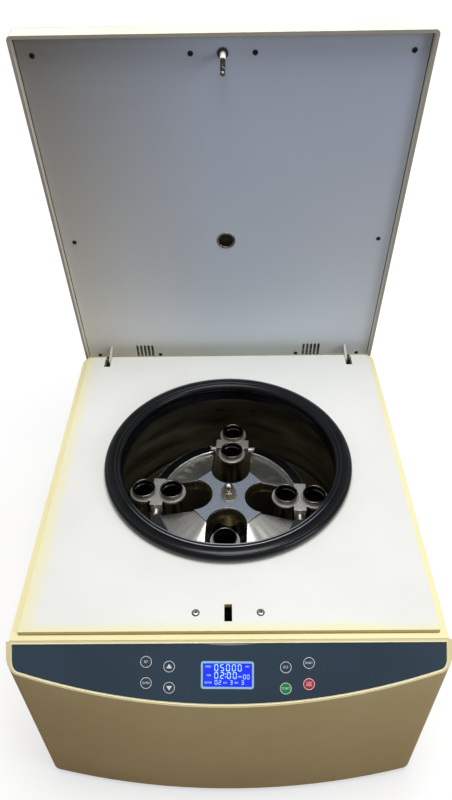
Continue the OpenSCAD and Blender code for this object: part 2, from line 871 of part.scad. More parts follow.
module bucket_frame(turn) {
    pin_end = slot_w / 2 + 4.5;
    color([0.80, 0.79, 0.76]) on_bucket(turn) {
        difference() {
            translate([0, 0, plate_z]) linear_extrude(plate_t) union() {
                for (side = [-1, 1]) translate([side * tube_pitch / 2, 0]) circle(r = ring_r);
                square([2 * lug_half + 2, ear_span], center = true);
                square([tube_pitch, ring_r], center = true);
            }
            for (side = [-1, 1]) translate([side * tube_pitch / 2, 0, 0]) {
                cylinder(r = tube_r + 0.3, h = plate_z + plate_t + through);
                translate([0, 0, plate_z + plate_t - collar_t]) cylinder(r = collar_r + 0.2, h = 5);
            }
        }
        for (side = [0, 1]) mirror([0, side, 0]) {
            translate([-lug_half, ear_span / 2 - 5, -pin_r - 1])
                cube([2 * lug_half, 5, plate_z + pin_r + 1.01]);
            translate([0, ear_span / 2 - 0.1, 0]) rotate([-90, 0, 0]) {
                cylinder(r = pin_r, h = pin_end - ear_span / 2 - 1);
                translate([0, 0, pin_end - ear_span / 2 - 1.1]) cylinder(r = pin_r - 0.8, h = 1.2);
            }
        }
    }
}

module tube_pair(turn) {
    bottom = tube_r - tube_below;
    color(steel) on_bucket(turn) for (side = [-1, 1]) translate([side * tube_pitch / 2, 0, 0]) difference() {
        union() {
            translate([0, 0, bottom]) cylinder(r = tube_r, h = tube_above - bottom);
            translate([0, 0, bottom]) sphere(r = tube_r);
            translate([0, 0, plate_z + plate_t - collar_t]) cylinder(r = collar_r, h = collar_t);
        }
        translate([0, 0, bottom]) cylinder(r = tube_r - tube_t, h = tube_above - bottom + through);
        translate([0, 0, bottom]) sphere(r = tube_r - tube_t);
    }
}

module right_bucket() { bucket_frame(0); }
module rear_bucket() { bucket_frame(90); }
module left_bucket() { bucket_frame(180); }
module front_bucket() { bucket_frame(270); }
module right_tubes() { tube_pair(0); }
module rear_tubes() { tube_pair(90); }
module left_tubes() { tube_pair(180); }
module front_tubes() { tube_pair(270); }

// Electrics

board_side = 84;
board_wide = 130;
board_high = 110;
board_low = 45;
board_post = 9;
coil_d = 22;
cap_r = 10;
cap_h = 24;
sink_h = 30;

module inverter_board() {
    left = body_half - board_side - board_wide / 2;
    y = body_back - wall_t - board_post - board_t;
    color(board_green) in_frame() translate([left, y, board_low]) {
        cube([board_wide, board_t, board_high]);
        for (x = [cap_r, board_wide - cap_r], z = [cap_r, board_high - cap_r])
            translate([x, board_t - 0.01, z]) rotate([-90, 0, 0])
                cylinder(r = cap_r / 2.5, h = board_post + 0.01);
        translate([cap_r, -coil_d, cap_r]) cube([2 * coil_d, coil_d + 0.01, 2 * coil_d]);
        for (i = [0:2]) translate([board_wide / 2 + i * 2.4 * cap_r, 0.01, board_high / 3])
            rotate([90, 0, 0]) cylinder(r = cap_r, h = cap_h);
        for (i = [0:5]) translate([cap_r + i * 0.8 * cap_r, 0.01 - coil_d, board_high - 1.5 * sink_h])
            cube([0.3 * cap_r, coil_d, sink_h]);
    }
}

module mains_inlet() {
    flange_t = 3;
    cup = 17;
    color(black) in_frame() translate([inlet_x, body_back, inlet_z]) difference() {
        union() {
            translate([0, flange_t / 2, 0]) cube([inlet_w + 14, flange_t, inlet_h + 8], center = true);
            translate([0, -cup / 2 - 1, 0]) cube([inlet_w - 0.6, cup + 2, inlet_h - 0.6], center = true);
        }
        difference() {
            translate([0, -cup / 2 + flange_t / 2 + 0.5, 0])
                cube([inlet_w - 6, cup + flange_t, inlet_h - 8], center = true);
            for (x = [-7, 0, 7]) translate([x - 1, -cup - 2, x == 0 ? 0 : -4]) cube([2, cup - 1, 4]);
        }
    }
}

rocker_y = body_back + 1;

module switch_frame() {
    color(black) in_frame() translate([switch_x, body_back, inlet_z]) difference() {
        union() {
            translate([0, 1, 0]) cube([switch_w + 4, 2, switch_h + 4], center = true);
            translate([0, -8, 0]) cube([switch_w - 0.6, 17, switch_h - 0.6], center = true);
        }
        translate([0, 0, 0]) cube([switch_w - 6, 14, switch_h - 5], center = true);
        translate([0, -1, 0]) rotate([0, 90, 0]) cylinder(r = 1.5 + play, h = switch_w - 3, center = true);
    }
}

module power_rocker() {
    half_w = switch_w / 2 - 3.4;
    half_h = switch_h / 2 - 3.2;
    color([0.1, 0.1, 0.1]) in_frame()
    translate([switch_x, body_back - 1, inlet_z]) rotate([rocker_tilt, 0, 0])
        rotate([0, 90, 0]) {
            translate([0, 0, -half_w]) linear_extrude(2 * half_w) polygon([[-half_h, 0], [-half_h, 3.4],
                [0, 2.2], [half_h, 3.4], [half_h, 0], [3, -3], [-3, -3]]);
            cylinder(r = 1.5, h = switch_w - 3.4, center = true);
        }
}

// Latch

latch_w = 36;
latch_back = 34;
latch_floor = deck_h - 56;
neck_r = striker_r - 1;
neck_h = 6;
bolt_t = 5;
tip_z = liner_z - striker_len;
bolt_z = tip_z + 8;
bolt_half = 6;
slide_gap = 0.3;

module latch_housing() {
    color([0.2, 0.2, 0.22]) in_frame() difference() {
        translate([-18, latch_y - latch_w / 2, latch_floor])
            cube([18 + latch_back, latch_w, top_under - latch_floor]);
        latch_opening(3, latch_floor + 4, deck_h);
        translate([0, -striker_y - bolt_half - slide_gap, bolt_z - slide_gap])
            cube([latch_back + through, 2 * (bolt_half + slide_gap), bolt_t + 2 * slide_gap]);
    }
}

rod_hole = 3;

module latch_bolt() {
    rest = bolt_travel;
    tip = -4;
    color(steel) in_frame() translate([rest, -striker_y, bolt_z]) {
        difference() {
            translate([tip, -bolt_half, 0]) cube([latch_back - tip - 4, 2 * bolt_half, bolt_t]);
            translate([0, 0, -through]) cylinder(r = neck_r + 0.6, h = bolt_t + 2 * through);
            translate([tip - through, -neck_r - 0.6, -through])
                cube([through - tip, 2 * neck_r + 1.2, bolt_t + 2 * through]);
        }
        translate([latch_back - 4.1, 0, bolt_t / 2]) rotate([0, 90, 0]) cylinder(r = rod_hole - 0.6, h = 26);
    }
}

module latch_solenoid() {
    start = latch_back + bolt_travel + 2;
    color([0.3, 0.3, 0.32]) in_frame() difference() {
        union() {
            translate([start, -striker_y - 13, latch_floor]) cube([36, 26, 30]);
            translate([latch_back - 0.01, -striker_y - 13, latch_floor - 0.01])
                cube([start - latch_back + 1, 26, 3]);
        }
        translate([start - through, -striker_y, bolt_z + bolt_t / 2]) rotate([0, 90, 0])
            cylinder(r = rod_hole - 0.6 + play, h = 30);
    }
}

// Hinge

bracket_t = 3;
bracket_r = 7;
bracket_x = arm_x + arm_t / 2 + bracket_gap;

bracket_deep = 52;
bracket_foot = 18;
bracket_foot_h = 30;

module hinge_brackets() {
    deep = bracket_deep;
    wall_y = body_back - wall_t;
    foot_w = bracket_foot;
    foot_high = bracket_foot_h;
    color(dark_steel) in_frame() mirrored_x() difference() {
        union() {
            translate([bracket_x, hinge_back, hinge_z]) rotate([0, 90, 0])
                cylinder(r = bracket_r, h = bracket_t);
            translate([bracket_x, hinge_back - bracket_r, hinge_z - deep])
                cube([bracket_t, wall_y - hinge_back + bracket_r, deep]);
            translate([bracket_x, wall_y - bracket_t, hinge_z - deep]) cube([foot_w, bracket_t, foot_high]);
        }
        translate([bracket_x - through, hinge_back, hinge_z]) rotate([0, 90, 0])
            cylinder(r = hinge_r, h = bracket_t + 2 * through);
        translate([bracket_x + foot_w / 2 + bracket_t / 2, wall_y - bracket_t - through,
            hinge_z - deep + foot_high / 2])
            rotate([-90, 0, 0]) cylinder(r = 2.2, h = bracket_t + through);
    }
}

module hinge_pins() {
    inner = arm_x - arm_t / 2 - pin_proud;
    color(steel) in_frame() mirrored_x() translate([inner, hinge_back, hinge_z]) rotate([0, 90, 0])
        cylinder(r = hinge_r, h = bracket_x + bracket_t - inner);
}

// Lid, drawn closed

module lid_solid(inset, low) {
    half = lid_half - inset;
    y0 = -lid_front + inset;
    y1 = lid_back - inset;
    h = lid_h - inset - low;
    intersection() {
        translate([0, 0, lid_rim_z + low]) linear_extrude(h)
            plan_2d(half, y0, y1, max(lid_front_r - inset, 1), cabinet_r - inset);
        translate([0, y1, lid_rim_z + low]) rotate([90, 0, 0]) linear_extrude(y1 - y0)
            shoulder_2d(half, h, crown_r - inset);
        translate([-half, (y0 + y1) / 2, lid_rim_z + low]) rotate([90, 0, 90]) linear_extrude(2 * half)
            shoulder_2d((y1 - y0) / 2, h, crown_r - inset);
    }
}

sight_y = 20.5;
boss_r_lid = 5;
screw_bite = 8;

module lid_shell() {
    color(cream) on_lid() difference() {
        union() {
            difference() {
                lid_solid(0, 0);
                lid_solid(lid_t, -through);
            }
            intersection() {
                lid_solid(lid_t / 2, 0);
                for (side = [-1, 1], place = liner_screws_at)
                    translate([side * place[0], place[1], liner_z + liner_t])
                        cylinder(r = boss_r_lid, h = lid_h);
            }
        }
        translate([0, sight_y, lid_rim_z]) cylinder(r = sight_r + play, h = lid_h + through);
        for (side = [-1, 1], place = liner_screws_at) translate([side * place[0], place[1], lid_rim_z])
            cylinder(r = liner_shank_r, h = liner_z + liner_t + screw_bite - lid_rim_z);
    }
}

liner_screw_r = 3.4;
liner_shank_r = 1.6;
screw_edge = 23;
screw_rear = lid_back - 15.5;
liner_screws_at = [[lid_half - screw_edge, -striker_y], [38.4, -striker_y], [lid_half - screw_edge, sight_y],
    [lid_half - screw_edge, screw_rear], [119, screw_rear]];
liner_vent_y = hinge_back + 2.5;
liner_vent_x = 145;
liner_vent_pitch = 6.5;

module lid_liner() {
    edge = lid_t + 0.3;
    color(liner_grey) on_lid() difference() {
        translate([0, 0, liner_z]) linear_extrude(liner_t) difference() {
            plan_2d(lid_half - edge, -lid_front + edge, lid_back - edge, 2, cabinet_r - edge);
            translate([0, sight_y]) circle(r = sight_r + play);
            translate([0, -striker_y]) circle(r = striker_r + 1);
            for (side = [-1, 1], i = [-2:2])
                translate([side * liner_vent_x + i * liner_vent_pitch, liner_vent_y])
                slot_2d(4, 29);
            for (side = [-1, 1]) translate([side * arm_x, hinge_back])
                square([arm_t + 0.6, 2 * boss_arm_r + 4.6], center = true);
        }
        for (side = [-1, 1], place = liner_screws_at)
            translate([side * place[0], place[1], liner_z - through])
            cylinder(r = liner_shank_r, h = liner_t + 2 * through);
    }
}

module liner_screws() {
    color(steel) on_lid() for (side = [-1, 1], place = liner_screws_at)
        translate([side * place[0], place[1], liner_z]) mirror([0, 0, 1])
            cross_screw(liner_screw_r, 1.2, liner_shank_r - play, liner_t + screw_bite);
}

module hinge_arms() {
    top = lid_top_z - lid_t - hinge_z;
    neck = boss_arm_r + 2;
    long = 70;
    foot_low = liner_z + liner_t - hinge_z + 1;
    color([0.92, 0.92, 0.90]) on_lid() mirrored_x() {
        difference() {
            translate([arm_x - arm_t / 2, hinge_back, hinge_z]) rotate([90, 0, 90])
            linear_extrude(arm_t) union() {
                circle(r = boss_arm_r);
                polygon([[-boss_arm_r, 0], [boss_arm_r, 0], [neck, foot_low], [neck - 6, top - 8],
                    [neck - 8, top - 3], [-long, top - 3], [-long, top - 14],
                    [-neck - 10, foot_low + 2], [-neck, foot_low]]);
            }
            translate([arm_x - arm_t, hinge_back, hinge_z]) rotate([0, 90, 0])
                cylinder(r = hinge_r + play, h = 2 * arm_t);
        }
        translate([arm_x - arm_t / 2, hinge_back - long, lid_top_z - lid_t - 3]) cube([22, long - 14, 3]);
    }
}

module sight_tube() {
    color(steel) on_lid() translate([0, sight_y, liner_z]) difference() {
        union() {
            cylinder(r = sight_r, h = lid_top_z - liner_z);
            translate([0, 0, -0.8]) cylinder(r = sight_r + 1, h = 0.8);
        }
        translate([0, 0, -through - 0.8]) cylinder(r = sight_r - 2, h = lid_h + 5);
        translate([0, 0, lid_top_z - liner_z - 4]) cylinder(r = sight_r - 1, h = 5);
    }
}

module sight_lens() {
    color([0.8, 0.9, 1, 0.5]) on_lid() translate([0, sight_y, lid_top_z - 4])
        cylinder(r = sight_r - 1, h = 3);
}

sleeve_r = striker_r + 0.4;

module striker_pin() {
    sleeve = 20;
    neck_z = bolt_z - tip_z - 0.5;
    flange_r = 9;
    flange_z = striker_len + liner_t;
    color(steel) on_lid() translate([0, -striker_y, tip_z]) rotate_extrude() polygon([[0, 0],
        [striker_r - 1.2, 0], [striker_r, 1.5], [striker_r, neck_z], [neck_r, neck_z],
        [neck_r, neck_z + neck_h], [striker_r, neck_z + neck_h], [striker_r, striker_len - sleeve],
        [sleeve_r, striker_len - sleeve], [sleeve_r, flange_z], [flange_r, flange_z],
        [flange_r, flange_z + 2], [0, flange_z + 2]]);
}

module striker_grommet() {
    hole_r = striker_r + 1;
    color(black) on_lid() translate([0, -striker_y, liner_z]) rotate_extrude() polygon([[sleeve_r, -3],
        [sleeve_r + 2, -3], [sleeve_r + 3.2, -1.6], [sleeve_r + 3.2, 0], [hole_r, 0],
        [hole_r, liner_t], [sleeve_r, liner_t]]);
}

base_pan();
rubber_feet();
cabinet_shell();
cabinet_top();
deck_plate();
deck_screws();
front_fascia();
control_panel();
display_frame();
display_glass();
keypad_board();
set_key();
enter_key();
up_key();
down_key();
force_key();
start_key();
short_key();
stop_key();
chamber_bowl();
chamber_gasket();
guard_ring();
motor_stand();
vibration_dampers();
motor_mount();
motor_housing();
motor_bearings();
shaft_seal();
inverter_board();
mains_inlet();
switch_frame();
power_rocker();
latch_housing();
latch_solenoid();
latch_bolt();
hinge_brackets();
hinge_pins();
lid_shell();
lid_liner();
liner_screws();
hinge_arms();
sight_tube();
sight_lens();
striker_pin();
striker_grommet();
drive_spindle();
motor_core();
rotor_head();
hub_plate();
rotor_washer();
rotor_nut();
dome_nut();
right_bucket();
rear_bucket();
left_bucket();
front_bucket();
right_tubes();
rear_tubes();
left_tubes();
front_tubes();
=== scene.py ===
# %% [markdown]
# # A butterfat centrifuge with its lid up
#
# The machine is a cream steel cabinet with a bowed moulded front, a raised off-white deck, a black
# rubber gasket round a deep steel bowl, and a rotor that carries paired tube sleeves. Its solids
# come ready made. This notebook dresses them: it rounds their edges, turns the round parts again
# with smooth walls, draws the key legends and the display, and gives every surface a finish made
# of shader nodes.

import json
import math

import bmesh
import bpy
from mathutils import Matrix, Vector, geometry

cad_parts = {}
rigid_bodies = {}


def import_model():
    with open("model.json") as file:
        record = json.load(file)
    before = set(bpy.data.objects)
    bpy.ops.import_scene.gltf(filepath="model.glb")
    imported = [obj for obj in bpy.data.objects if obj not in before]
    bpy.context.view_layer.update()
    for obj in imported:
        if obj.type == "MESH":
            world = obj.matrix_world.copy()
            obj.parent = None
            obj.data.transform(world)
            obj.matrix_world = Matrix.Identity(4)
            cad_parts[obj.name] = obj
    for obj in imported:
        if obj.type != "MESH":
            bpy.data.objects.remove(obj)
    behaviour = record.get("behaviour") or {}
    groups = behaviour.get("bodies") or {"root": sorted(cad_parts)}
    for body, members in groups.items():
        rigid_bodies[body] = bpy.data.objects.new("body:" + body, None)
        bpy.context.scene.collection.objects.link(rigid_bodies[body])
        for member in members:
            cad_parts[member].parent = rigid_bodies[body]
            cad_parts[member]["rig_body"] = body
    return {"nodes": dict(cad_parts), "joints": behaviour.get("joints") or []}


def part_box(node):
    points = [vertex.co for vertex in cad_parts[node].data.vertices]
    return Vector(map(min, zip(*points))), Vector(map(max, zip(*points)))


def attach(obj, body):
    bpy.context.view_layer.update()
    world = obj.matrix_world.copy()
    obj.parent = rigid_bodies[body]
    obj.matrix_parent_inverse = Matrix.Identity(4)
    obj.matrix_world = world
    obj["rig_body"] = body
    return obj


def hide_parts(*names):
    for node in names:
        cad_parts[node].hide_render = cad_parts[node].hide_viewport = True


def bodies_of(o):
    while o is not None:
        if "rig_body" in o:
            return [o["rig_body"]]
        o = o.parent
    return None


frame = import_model()
scene = bpy.context.scene
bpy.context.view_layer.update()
joints = {joint["name"]: joint for joint in frame["joints"]}
rotor_axis = Vector(joints["rotor_spin"]["pos_m"])
rotor_y = rotor_axis.y
mm = 0.001


def put(name, data):
    made = bpy.data.objects.new(name, data)
    scene.collection.objects.link(made)
    return made


# %% [markdown]
# ## Camera
#
# The photograph looks down at the open chamber from above the front edge. A camera is placed by
# its position and by three angles: yaw to the side, pitch down, and a small roll. Building the
# rotation from the three directions of the camera keeps each angle readable, where Euler angles
# would hide them in an order of turns.

# %% The camera stands where the photographer stood
yaw, pitch, roll = math.radians(-0.80), math.radians(41.06), math.radians(-1.09)
ahead = Vector((math.sin(yaw) * math.cos(pitch), math.cos(yaw) * math.cos(pitch), -math.sin(pitch)))
level = Vector((math.cos(yaw), -math.sin(yaw), 0))
upright = level.cross(ahead)
across = level * math.cos(roll) + upright * math.sin(roll)
over = upright * math.cos(roll) - level * math.sin(roll)

camera_data = bpy.data.cameras.new("photographer")
sensor_mm, focal_rows, photo_rows = 36, 659, 800
camera_data.sensor_fit = "VERTICAL"
camera_data.sensor_height = sensor_mm
camera_data.lens = sensor_mm * focal_rows / photo_rows
camera_data.clip_start, camera_data.clip_end = 0.05, 40
camera = put("photographer", camera_data)
turned = Matrix((across, over, -ahead)).transposed().to_4x4()
eye = Vector((0.00793, rotor_y - 0.65463, 1.01201))
camera.matrix_world = Matrix.Translation(eye) @ turned
scene.camera = camera
print("the camera is", round(camera.location.z, 3), "m above the bench")

# %% [markdown]
# ## Node materials
#
# A finish is a Principled shader fed by patterns. The helpers here add a node, set its sockets and
# return an output, so that each finish below reads as a short recipe. A socket knows the tree it
# belongs to, so most helpers need only the sockets. All patterns use Object coordinates: every
# piece keeps its place in its own mesh, so the pattern is measured in metres and stays on the
# piece when it moves.

# %% Helpers for finishes
def finish(name, colour, roughness, metallic=0.0, coat=0.0, coat_roughness=0.1, specular=0.5):
    material = bpy.data.materials.new(name)
    material.use_nodes = True
    shader = material.node_tree.nodes["Principled BSDF"]
    settings = {"Base Color": (*colour, 1), "Roughness": roughness, "Metallic": metallic,
                "Coat Weight": coat, "Coat Roughness": coat_roughness, "Specular IOR Level": specular}
    for socket, value in settings.items():
        shader.inputs[socket].default_value = value
    return material, material.node_tree, shader


def wire(value, socket):
    if isinstance(value, bpy.types.NodeSocket):
        value.id_data.links.new(value, socket)
    else:
        socket.default_value = value


def add(tree, kind, **sockets):
    node = tree.nodes.new(kind)
    for key, value in sockets.items():
        if hasattr(node, key):
            setattr(node, key, value)
            continue
        numbered = key[0] == "i" and key[1:].isdigit()
        wire(value, node.inputs[int(key[1:]) if numbered else key])
    return node


def place(tree, centre=(0, 0, 0), scale=(1, 1, 1)):
    where = add(tree, "ShaderNodeTexCoord").outputs["Object"]
    away = add(tree, "ShaderNodeVectorMath", operation="SUBTRACT", i0=where, i1=centre).outputs[0]
    return add(tree, "ShaderNodeMapping", Vector=away, Scale=scale).outputs[0]


def noise(where, scale, detail=3.0, rough=0.55):
    made = add(where.id_data, "ShaderNodeTexNoise", Vector=where, Scale=scale, Detail=detail, Roughness=rough)
    return made.outputs["Fac"]


def spread(value, low, high, to_low=0.0, to_high=1.0):
    ends = {"i1": low, "i2": high, "i3": to_low, "i4": to_high}
    return add(value.id_data, "ShaderNodeMapRange", Value=value, **ends).outputs[0]


def sums(operation, first, second):
    socket = first if isinstance(first, bpy.types.NodeSocket) else second
    return add(socket.id_data, "ShaderNodeMath", operation=operation, i0=first, i1=second).outputs[0]


def blend(share, first, second):
    made = add(share.id_data, "ShaderNodeMix", data_type="RGBA", blend_type="MIX")
    for socket, value in ((0, share), (6, first), (7, second)):
        wire((*value, 1) if isinstance(value, tuple) else value, made.inputs[socket])
    return made.outputs[2]


def relief(shader, height, depth, strength=0.6):
    made = add(height.id_data, "ShaderNodeBump", Height=height, Distance=depth, Strength=strength)
    wire(made.outputs[0], shader.inputs["Normal"])


def skin(shader, colour, roughness=None):
    wire(colour, shader.inputs["Base Color"])
    if roughness is not None:
        wire(roughness, shader.inputs["Roughness"])


def rgb(*levels):
    return tuple(v / 255 / 12.92 if v <= 10 else ((v / 255 + 0.055) / 1.055) ** 2.4 for v in levels)


print("a paint of 245 232 170 is", [round(v, 3) for v in rgb(245, 232, 170)], "in linear light")

# %% [markdown]
# ## Bench and light
#
# The machine stands on a pale bench in a white room. One wide lamp hangs over the chamber, so the
# deck is bright while the front and the inside of the lid stay in half shade, as they do in the
# photograph. A weak cool lamp at the right lifts that side. The bench looks white to the camera,
# but it bounces a little warm light only, which keeps the front face dark and brownish.

# %% White room, bench and lamps
scene.view_settings.view_transform = "Standard"
world = bpy.data.worlds.new("white room")
world.use_nodes = True
scene.world = world
room = world.node_tree
ray = add(room, "ShaderNodeLightPath").outputs
seen = sums("MAXIMUM", ray["Is Camera Ray"], ray["Is Transmission Ray"])
level_seen = spread(seen, 0, 1, 0.24, 1.0)
shiny = spread(ray["Is Glossy Ray"], 0, 1, 0.0, 0.45)
strength = sums("MAXIMUM", level_seen, shiny)
wire(strength, room.nodes["Background"].inputs["Strength"])
room.nodes["Background"].inputs["Color"].default_value = (1, 1, 1, 1)

bench_mesh = bpy.data.meshes.new("bench")
reach = 30.0
corners = [(-reach, -reach, 0), (reach, -reach, 0), (reach, reach, 0), (-reach, reach, 0)]
bench_mesh.from_pydata(corners, [], [(0, 1, 2, 3)])
bench = put("bench", bench_mesh)
bench.location.z = -0.0003
bench_finish, bench_tree, bench_shader = finish("pale bench", (0.9, 0.9, 0.9), 0.8, specular=0.1)
bench_ray = add(bench_tree, "ShaderNodeLightPath").outputs["Is Camera Ray"]
mottle = spread(noise(place(bench_tree), 6.0), 0.3, 0.7, 0.0, 0.02)
seen_bench = blend(mottle, (0.50, 0.50, 0.50), (0.48, 0.48, 0.475))
bench_colour = blend(bench_ray, (0.34, 0.25, 0.16), seen_bench)
skin(bench_shader, bench_colour)
bench_shader.inputs["Emission Color"].default_value = (1, 1, 1, 1)
away = add(bench_tree, "ShaderNodeVectorMath", operation="LENGTH", i0=place(bench_tree)).outputs["Value"]
glow = spread(away, 0.4, 1.8, 0.58, 0.90)
wire(sums("MULTIPLY", bench_ray, glow), bench_shader.inputs["Emission Strength"])
bench_mesh.materials.append(bench_finish)


def lamp(name, at, target, size, power, colour=(1, 1, 1)):
    data = bpy.data.lights.new(name, "AREA")
    data.size, data.energy, data.color = size, power, colour
    made = put(name, data)
    made.location = at
    made.rotation_euler = (Vector(target) - Vector(at)).to_track_quat("-Z", "Y").to_euler()
    return made


overhead = lamp("overhead", (0.1, -0.16, 2.4), (0, 0, 0.3), 1.1, 36.5)
right_fill = lamp("right fill", (1.7, -1.1, 1.2), (0, -0.1, 0.3), 1.0, 10.5, (0.90, 0.95, 1.0))
print("lamps:", overhead.data.energy, "W overhead and", right_fill.data.energy, "W at the right")

# %% [markdown]
# ## Paints and plastics
#
# The cabinet, fascia and lid are cream. A powder coat has a fine orange peel, so a small bump of
# noise gives it life; a second, wide noise shifts the tone by a few percent, since large painted
# parts are never even. Worn edges are lighter: the rounding of each edge writes an attribute
# named edge, and the paints read it.

# %% Cream, deck, liner and dark plastics
def worn(colour, bare, amount=0.6):
    tree = colour.id_data
    mark = add(tree, "ShaderNodeAttribute", attribute_name="edge").outputs["Fac"]
    patchy = spread(noise(place(tree), 90.0, 4.0), 0.42, 0.62)
    return blend(sums("MULTIPLY", sums("MULTIPLY", mark, patchy), amount), colour, bare)


def paint(name, colour, second, bare, roughness=0.42, peel=420.0):
    material, tree, shader = finish(name, rgb(*colour), roughness)
    where = place(tree)
    tone = spread(noise(where, 5.0, 4.0), 0.3, 0.7)
    mixed = worn(blend(tone, rgb(*colour), rgb(*second)), rgb(*bare))
    smear = noise(where, 23.0, 5.0)
    skin(shader, mixed, spread(smear, 0.3, 0.75, roughness - 0.06, roughness + 0.1))
    relief(shader, noise(where, peel, 2.0), 0.00012, 0.25)
    return material


cream = paint("cream powder coat", (244, 236, 188), (239, 229, 176), (250, 244, 205))
moulding = paint("cream moulding", (238, 226, 178), (230, 216, 164), (250, 243, 205), 0.36, 300.0)
lid_cream = paint("lid moulding", (240, 237, 222), (232, 228, 210), (250, 249, 238), 0.34, 260.0)
lid_lip = paint("lid lip", (182, 178, 168), (170, 166, 156), (222, 218, 208), 0.4, 260.0)
# Painted shade: a darker, browner copy of the moulding for the steep faces of the fascia.
front_painted_shade = paint("shaded moulding", (212, 197, 154), (200, 183, 138), (236, 225, 188), 0.38, 300.0)
# The steep faces of the deck are yellowed, and painted darker as painted shade.
deck_side_shade = paint("yellowed deck side, painted shade", (214, 196, 130), (196, 176, 108), (226, 212, 150), 0.4, 300.0)
# Painted highlight: the bead is painted lighter than the moulding it belongs to.
bead_painted_light = paint("bead with painted light", (252, 246, 212), (247, 239, 198), (255, 252, 230), 0.28, 300.0)
seam_paint = paint("aged seam", (150, 128, 78), (122, 100, 58), (180, 160, 110), 0.6, 200.0)
arm_paint = paint("light grey paint", (214, 214, 208), (203, 203, 196), (236, 236, 230))
chassis = paint("dark powder coat", (58, 58, 60), (48, 48, 51), (96, 96, 98), 0.5, 500.0)
black_plastic = paint("black plastic", (30, 30, 32), (24, 24, 26), (60, 60, 62), 0.4, 350.0)
motor_paint = paint("motor enamel", (62, 72, 78), (52, 61, 68), (110, 116, 120), 0.5, 240.0)

deck_low, deck_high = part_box("deck_plate")
deck_paint, tree, shader = finish("deck enamel", rgb(236, 236, 232), 0.38)
where = place(tree)
split = add(tree, "ShaderNodeSeparateXYZ", Vector=where).outputs
from_left = sums("SUBTRACT", split["X"], deck_low.x)
from_front = sums("SUBTRACT", split["Y"], deck_low.y)
near_edge = sums("MINIMUM", from_left, sums("MULTIPLY", from_front, 1.6))
wobble = spread(noise(where, 14.0), 0.3, 0.7, -0.004, 0.004)
yellowed = spread(sums("ADD", near_edge, wobble), 0.0, 0.021, 1.0, 0.0)
tone = spread(noise(where, 7.0, 4.0), 0.35, 0.7)
enamel = blend(tone, rgb(235, 235, 230), rgb(229, 229, 224))
aged = blend(sums("MULTIPLY", yellowed, 0.85), enamel, rgb(240, 233, 178))
smear = spread(noise(where, 30.0, 5.0), 0.3, 0.7, 0.3, 0.5)
skin(shader, worn(aged, rgb(205, 190, 120), 0.9), smear)
relief(shader, noise(where, 500.0, 2.0), 0.0001, 0.2)

liner_paint, tree, shader = finish("liner sheet", rgb(200, 205, 212), 0.42)
where = place(tree)
split = add(tree, "ShaderNodeSeparateXYZ", Vector=where).outputs
# Painted light and shade: the liner is painted darker towards its top, most at its left, and bluer towards
# its right.
liner_light_across = spread(split["X"], -0.26, -0.02)
liner_shade_up = spread(split["Z"], 0.40, 0.86)
cloud = noise(place(tree, scale=(1.0, 1.0, 0.5)), 5.0, 3.0)
sheet = blend(liner_light_across, rgb(228, 226, 220), rgb(220, 229, 242))
liner_painted_shade = blend(liner_light_across, rgb(126, 124, 119), rgb(182, 198, 228))
sheet = blend(liner_shade_up, sheet, liner_painted_shade)
sheet = blend(spread(cloud, 0.3, 0.7, 0.0, 0.12), sheet, rgb(170, 175, 183))
smear = spread(cloud, 0.3, 0.7, 0.38, 0.5)
skin(shader, worn(sheet, rgb(225, 228, 232), 0.5), smear)
relief(shader, noise(where, 420.0, 3.0), 0.0001, 0.2)

overlay, tree, shader = finish("slate overlay", rgb(50, 68, 83), 0.4)
where = place(tree)
tone = spread(noise(where, 8.0, 3.0), 0.3, 0.7)
skin(shader, blend(tone, rgb(43, 63, 80), rgb(36, 54, 69)))
relief(shader, noise(where, 1500.0, 1.0), 0.00008, 0.35)

print("paints made:", sorted(m.name for m in bpy.data.materials))

# %% [markdown]
# ## Rubber, metals and glass
#
# The gasket is moulded rubber with a soft bluish sheen, and its small ridges carry a painted
# highlight. The bowl is drawn steel and works as a dark mirror, so streaks round its wall matter more
# than its colour; their golden tone is partly a painted reflection, and the wall is painted darker
# towards its top and on its floor as painted shade. The rotor is turned aluminium: its sheen comes
# from rings cut by the tool, made here from noise that depends on the distance from the rotor axis
# alone.

# %% Rubber, steel, aluminium, brass, glass and display
def rings(tree, scale):
    away = place(tree, centre=tuple(rotor_axis))
    parts = add(tree, "ShaderNodeSeparateXYZ", Vector=away).outputs
    squares = [sums("MULTIPLY", parts[side], parts[side]) for side in "XY"]
    radius = sums("SQRT", sums("ADD", *squares), 0.0)
    turn = sums("ARCTAN2", parts["Y"], parts["X"])
    spot = add(tree, "ShaderNodeCombineXYZ", X=sums("MULTIPLY", radius, scale),
               Y=sums("MULTIPLY", turn, 1.2)).outputs[0]
    return noise(spot, 1.0, 4.0, 0.6), radius, turn, parts


rubber, tree, shader = finish("moulded rubber", rgb(12, 13, 15), 0.24, specular=0.24)
where = place(tree)
bloom = spread(noise(where, 18.0, 5.0), 0.4, 0.75)
smear = spread(bloom, 0, 1, 0.17, 0.27)
skin(shader, blend(bloom, rgb(8, 9, 11), rgb(18, 20, 25)), smear)
relief(shader, noise(where, 900.0, 2.0), 0.00004, 0.1)

# Painted highlight: the inner ridges at the front of the ring and the outer ridge at the back are painted
# light grey, broken up by noise.
ridge_painted_highlight, tree, shader = finish("rubber ridge with painted highlight", rgb(60, 62, 66), 0.2)
drawn, radius, turn, parts = rings(tree, 60.0)
gasket_crest = 0.164
ridge_side = sums("SIGN", sums("SUBTRACT", radius, gasket_crest), 0.0)
highlight_side = sums("MULTIPLY", ridge_side, sums("DIVIDE", parts["Y"], radius))
highlight_share = spread(highlight_side, 0.55, 0.97)
ridge_highlight_colour = blend(highlight_share, rgb(14, 15, 18), rgb(168, 170, 176))
dull = spread(drawn, 0.3, 0.7, 0.0, 0.4)
skin(shader, blend(dull, ridge_highlight_colour, rgb(14, 15, 18)))
relief(shader, noise(place(tree), 900.0, 2.0), 0.00004, 0.1)

